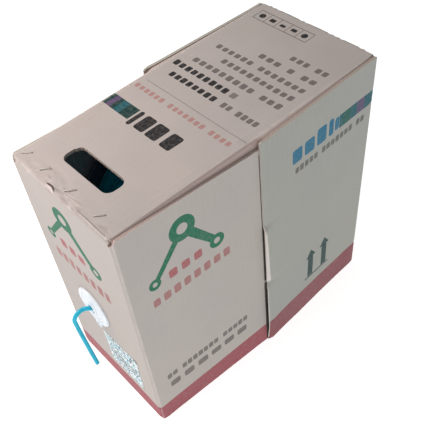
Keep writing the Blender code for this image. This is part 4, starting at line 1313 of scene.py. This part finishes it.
def label_material(name, base, rough=0.42, speckled=False):
    s = Shader(name)
    here = s.place()
    crinkle = s.noise(s.place((1, 1, 1)), 75.0, 4.0, 0.6, 0.8)
    colour = s.mix(s.ramp(crinkle, 0.3, 0.7), tuple(c * 0.93 for c in base), tuple(min(1, c * 1.04) for c in base))
    if speckled:
        cells = s.node("ShaderNodeTexVoronoi", {"Vector": s.place((1, 1, 0.8)), "Scale": 520.0, "Randomness": 1.0})
        pick = s.node("ShaderNodeSeparateColor", {0: cells.outputs["Color"]})
        drift = s.math("MULTIPLY", s.math("SUBTRACT", s.noise(s.place(), 55.0, 3.0), 0.5), 0.55)
        chance = s.math("ADD", pick.outputs[0], drift)
        colour = s.mix(s.ramp(chance, 0.50, 0.56), colour, srgb(150, 220, 236))
        colour = s.mix(s.ramp(chance, 0.68, 0.72), colour, srgb(86, 150, 172))
        colour = s.mix(s.ramp(chance, 0.82, 0.86), colour, srgb(24, 44, 60))
    return s.finish(colour, s.ramp(crinkle, 0.3, 0.7, rough - 0.08, rough + 0.14), crinkle, 0.0012, 0.55)


def label_place(u, v):
    keep = smooth(0, 45, math.dist((u, v), (OUTLET_X, OUTLET_Z)) - 34) * smooth(0, 25, FLAT - abs(u)) * smooth(0, 20, v)
    y = -HALF_L + keep * rumple(u, 0, v, 90.0, 1.3)
    puff = 0.25 * rumple(u, 50, v, 12.0, 1.0)
    curl = 0.8 * smooth(9, 0, math.dist((u, v), (LABEL_X[1], LABEL_Z[1])))
    return Vector((u, y - 0.32 - puff - curl, v)), Vector((u, y - 0.12 - curl, v))


label_shapes = []
for k, v in enumerate((112, 104, 96)):
    label_shapes += tagged("line", row(-3, 44 - 9 * (k % 2), v, v + 4.2, [5, 4], 40 + k, 0.22))
rng = random.Random(8)
at = -3.0
while at < 55:
    w = rng.choice((0.8, 1.2, 1.9))
    label_shapes.append(("bar", [(at, 66), (at + w, 66), (at + w, 86), (at, 86)]))
    at += w + rng.choice((0.9, 1.4, 2.1))
label_shapes += tagged("line", row(-3, 40, 54, 58, [8], 50, 0.22))
label = folded_sheet(
    "front_label",
    rounded(*LABEL_X, *LABEL_Z, 2.5),
    label_place,
    [
        label_material("label_face", srgb(240, 250, 252), speckled=True), label_material("label_back", srgb(225, 222, 214)), label_material("label_edge", srgb(225, 225, 220)),
        label_material("label_line", srgb(112, 146, 156)), label_material("label_bar", srgb(70, 100, 112)),
    ],
    {"line": 3, "bar": 4},
    prints=label_shapes,
    us=[LABEL_X[0] + 3 * k for k in range(25)],
    vs=[LABEL_Z[0] + 3 * k for k in range(26)],
)
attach(label, "carton")

# ------------------------------------------------------------------ floor and light
floor_mesh = bpy.data.meshes.new("floor")
floor_mesh.from_pydata([(-9, -9, -0.0004), (9, -9, -0.0004), (9, 9, -0.0004), (-9, 9, -0.0004)], [], [(0, 1, 2, 3)])
floor = bpy.data.objects.new("floor", floor_mesh)
bpy.context.scene.collection.objects.link(floor)
fs = Shader("floor_paper")
# a light table: mostly its own glow, so that the ground reads as plain white
glow = fs.mix(fs.ramp(fs.noise(fs.place(), 3.0, 2.0), 0.3, 0.7), (0.60, 0.60, 0.60), (0.62, 0.62, 0.62))
floor_mesh.materials.append(fs.finish(glow, 0.95, Emission_Color=(1.0, 1.0, 1.0), Emission_Strength=0.82))

world = bpy.data.worlds.new("studio")
bpy.context.scene.world = world
world.use_nodes = True
world.node_tree.nodes["Background"].inputs[0].default_value = (0.98, 1.0, 0.975, 1.0)
world.node_tree.nodes["Background"].inputs[1].default_value = 0.34


def area(name, where, target, size, power, colour=(1, 1, 1)):
    data = bpy.data.lights.new(name, "AREA")
    data.shape, data.size, data.size_y = "RECTANGLE", size[0], size[1]
    data.energy, data.color = power, colour
    obj = bpy.data.objects.new(name, data)
    bpy.context.scene.collection.objects.link(obj)
    obj.location = where
    obj.rotation_mode = "QUATERNION"
    obj.rotation_quaternion = (Vector(target) - Vector(where)).to_track_quat("-Z", "Y")
    return obj


area("key", (-0.35, -0.45, 0.95), (0, -0.1, 0.3), (0.5, 0.5), 4.6, (1.0, 0.86, 0.82))
area("front_fill", (-0.3, -2.2, 0.6), (0, -0.1, 0.2), (1.0, 0.8), 4.2, (1.0, 0.82, 0.84))
area("side_fill", (0.45, -0.55, 0.3), (0.1, -0.1, 0.2), (0.3, 0.3), 0.28, (1.0, 0.97, 0.96))

bpy.context.scene.view_settings.view_transform = "Standard"
bpy.context.scene.view_settings.look = "None"
bpy.context.scene.view_settings.exposure = 0.0
bpy.context.scene.view_settings.gamma = 1.0
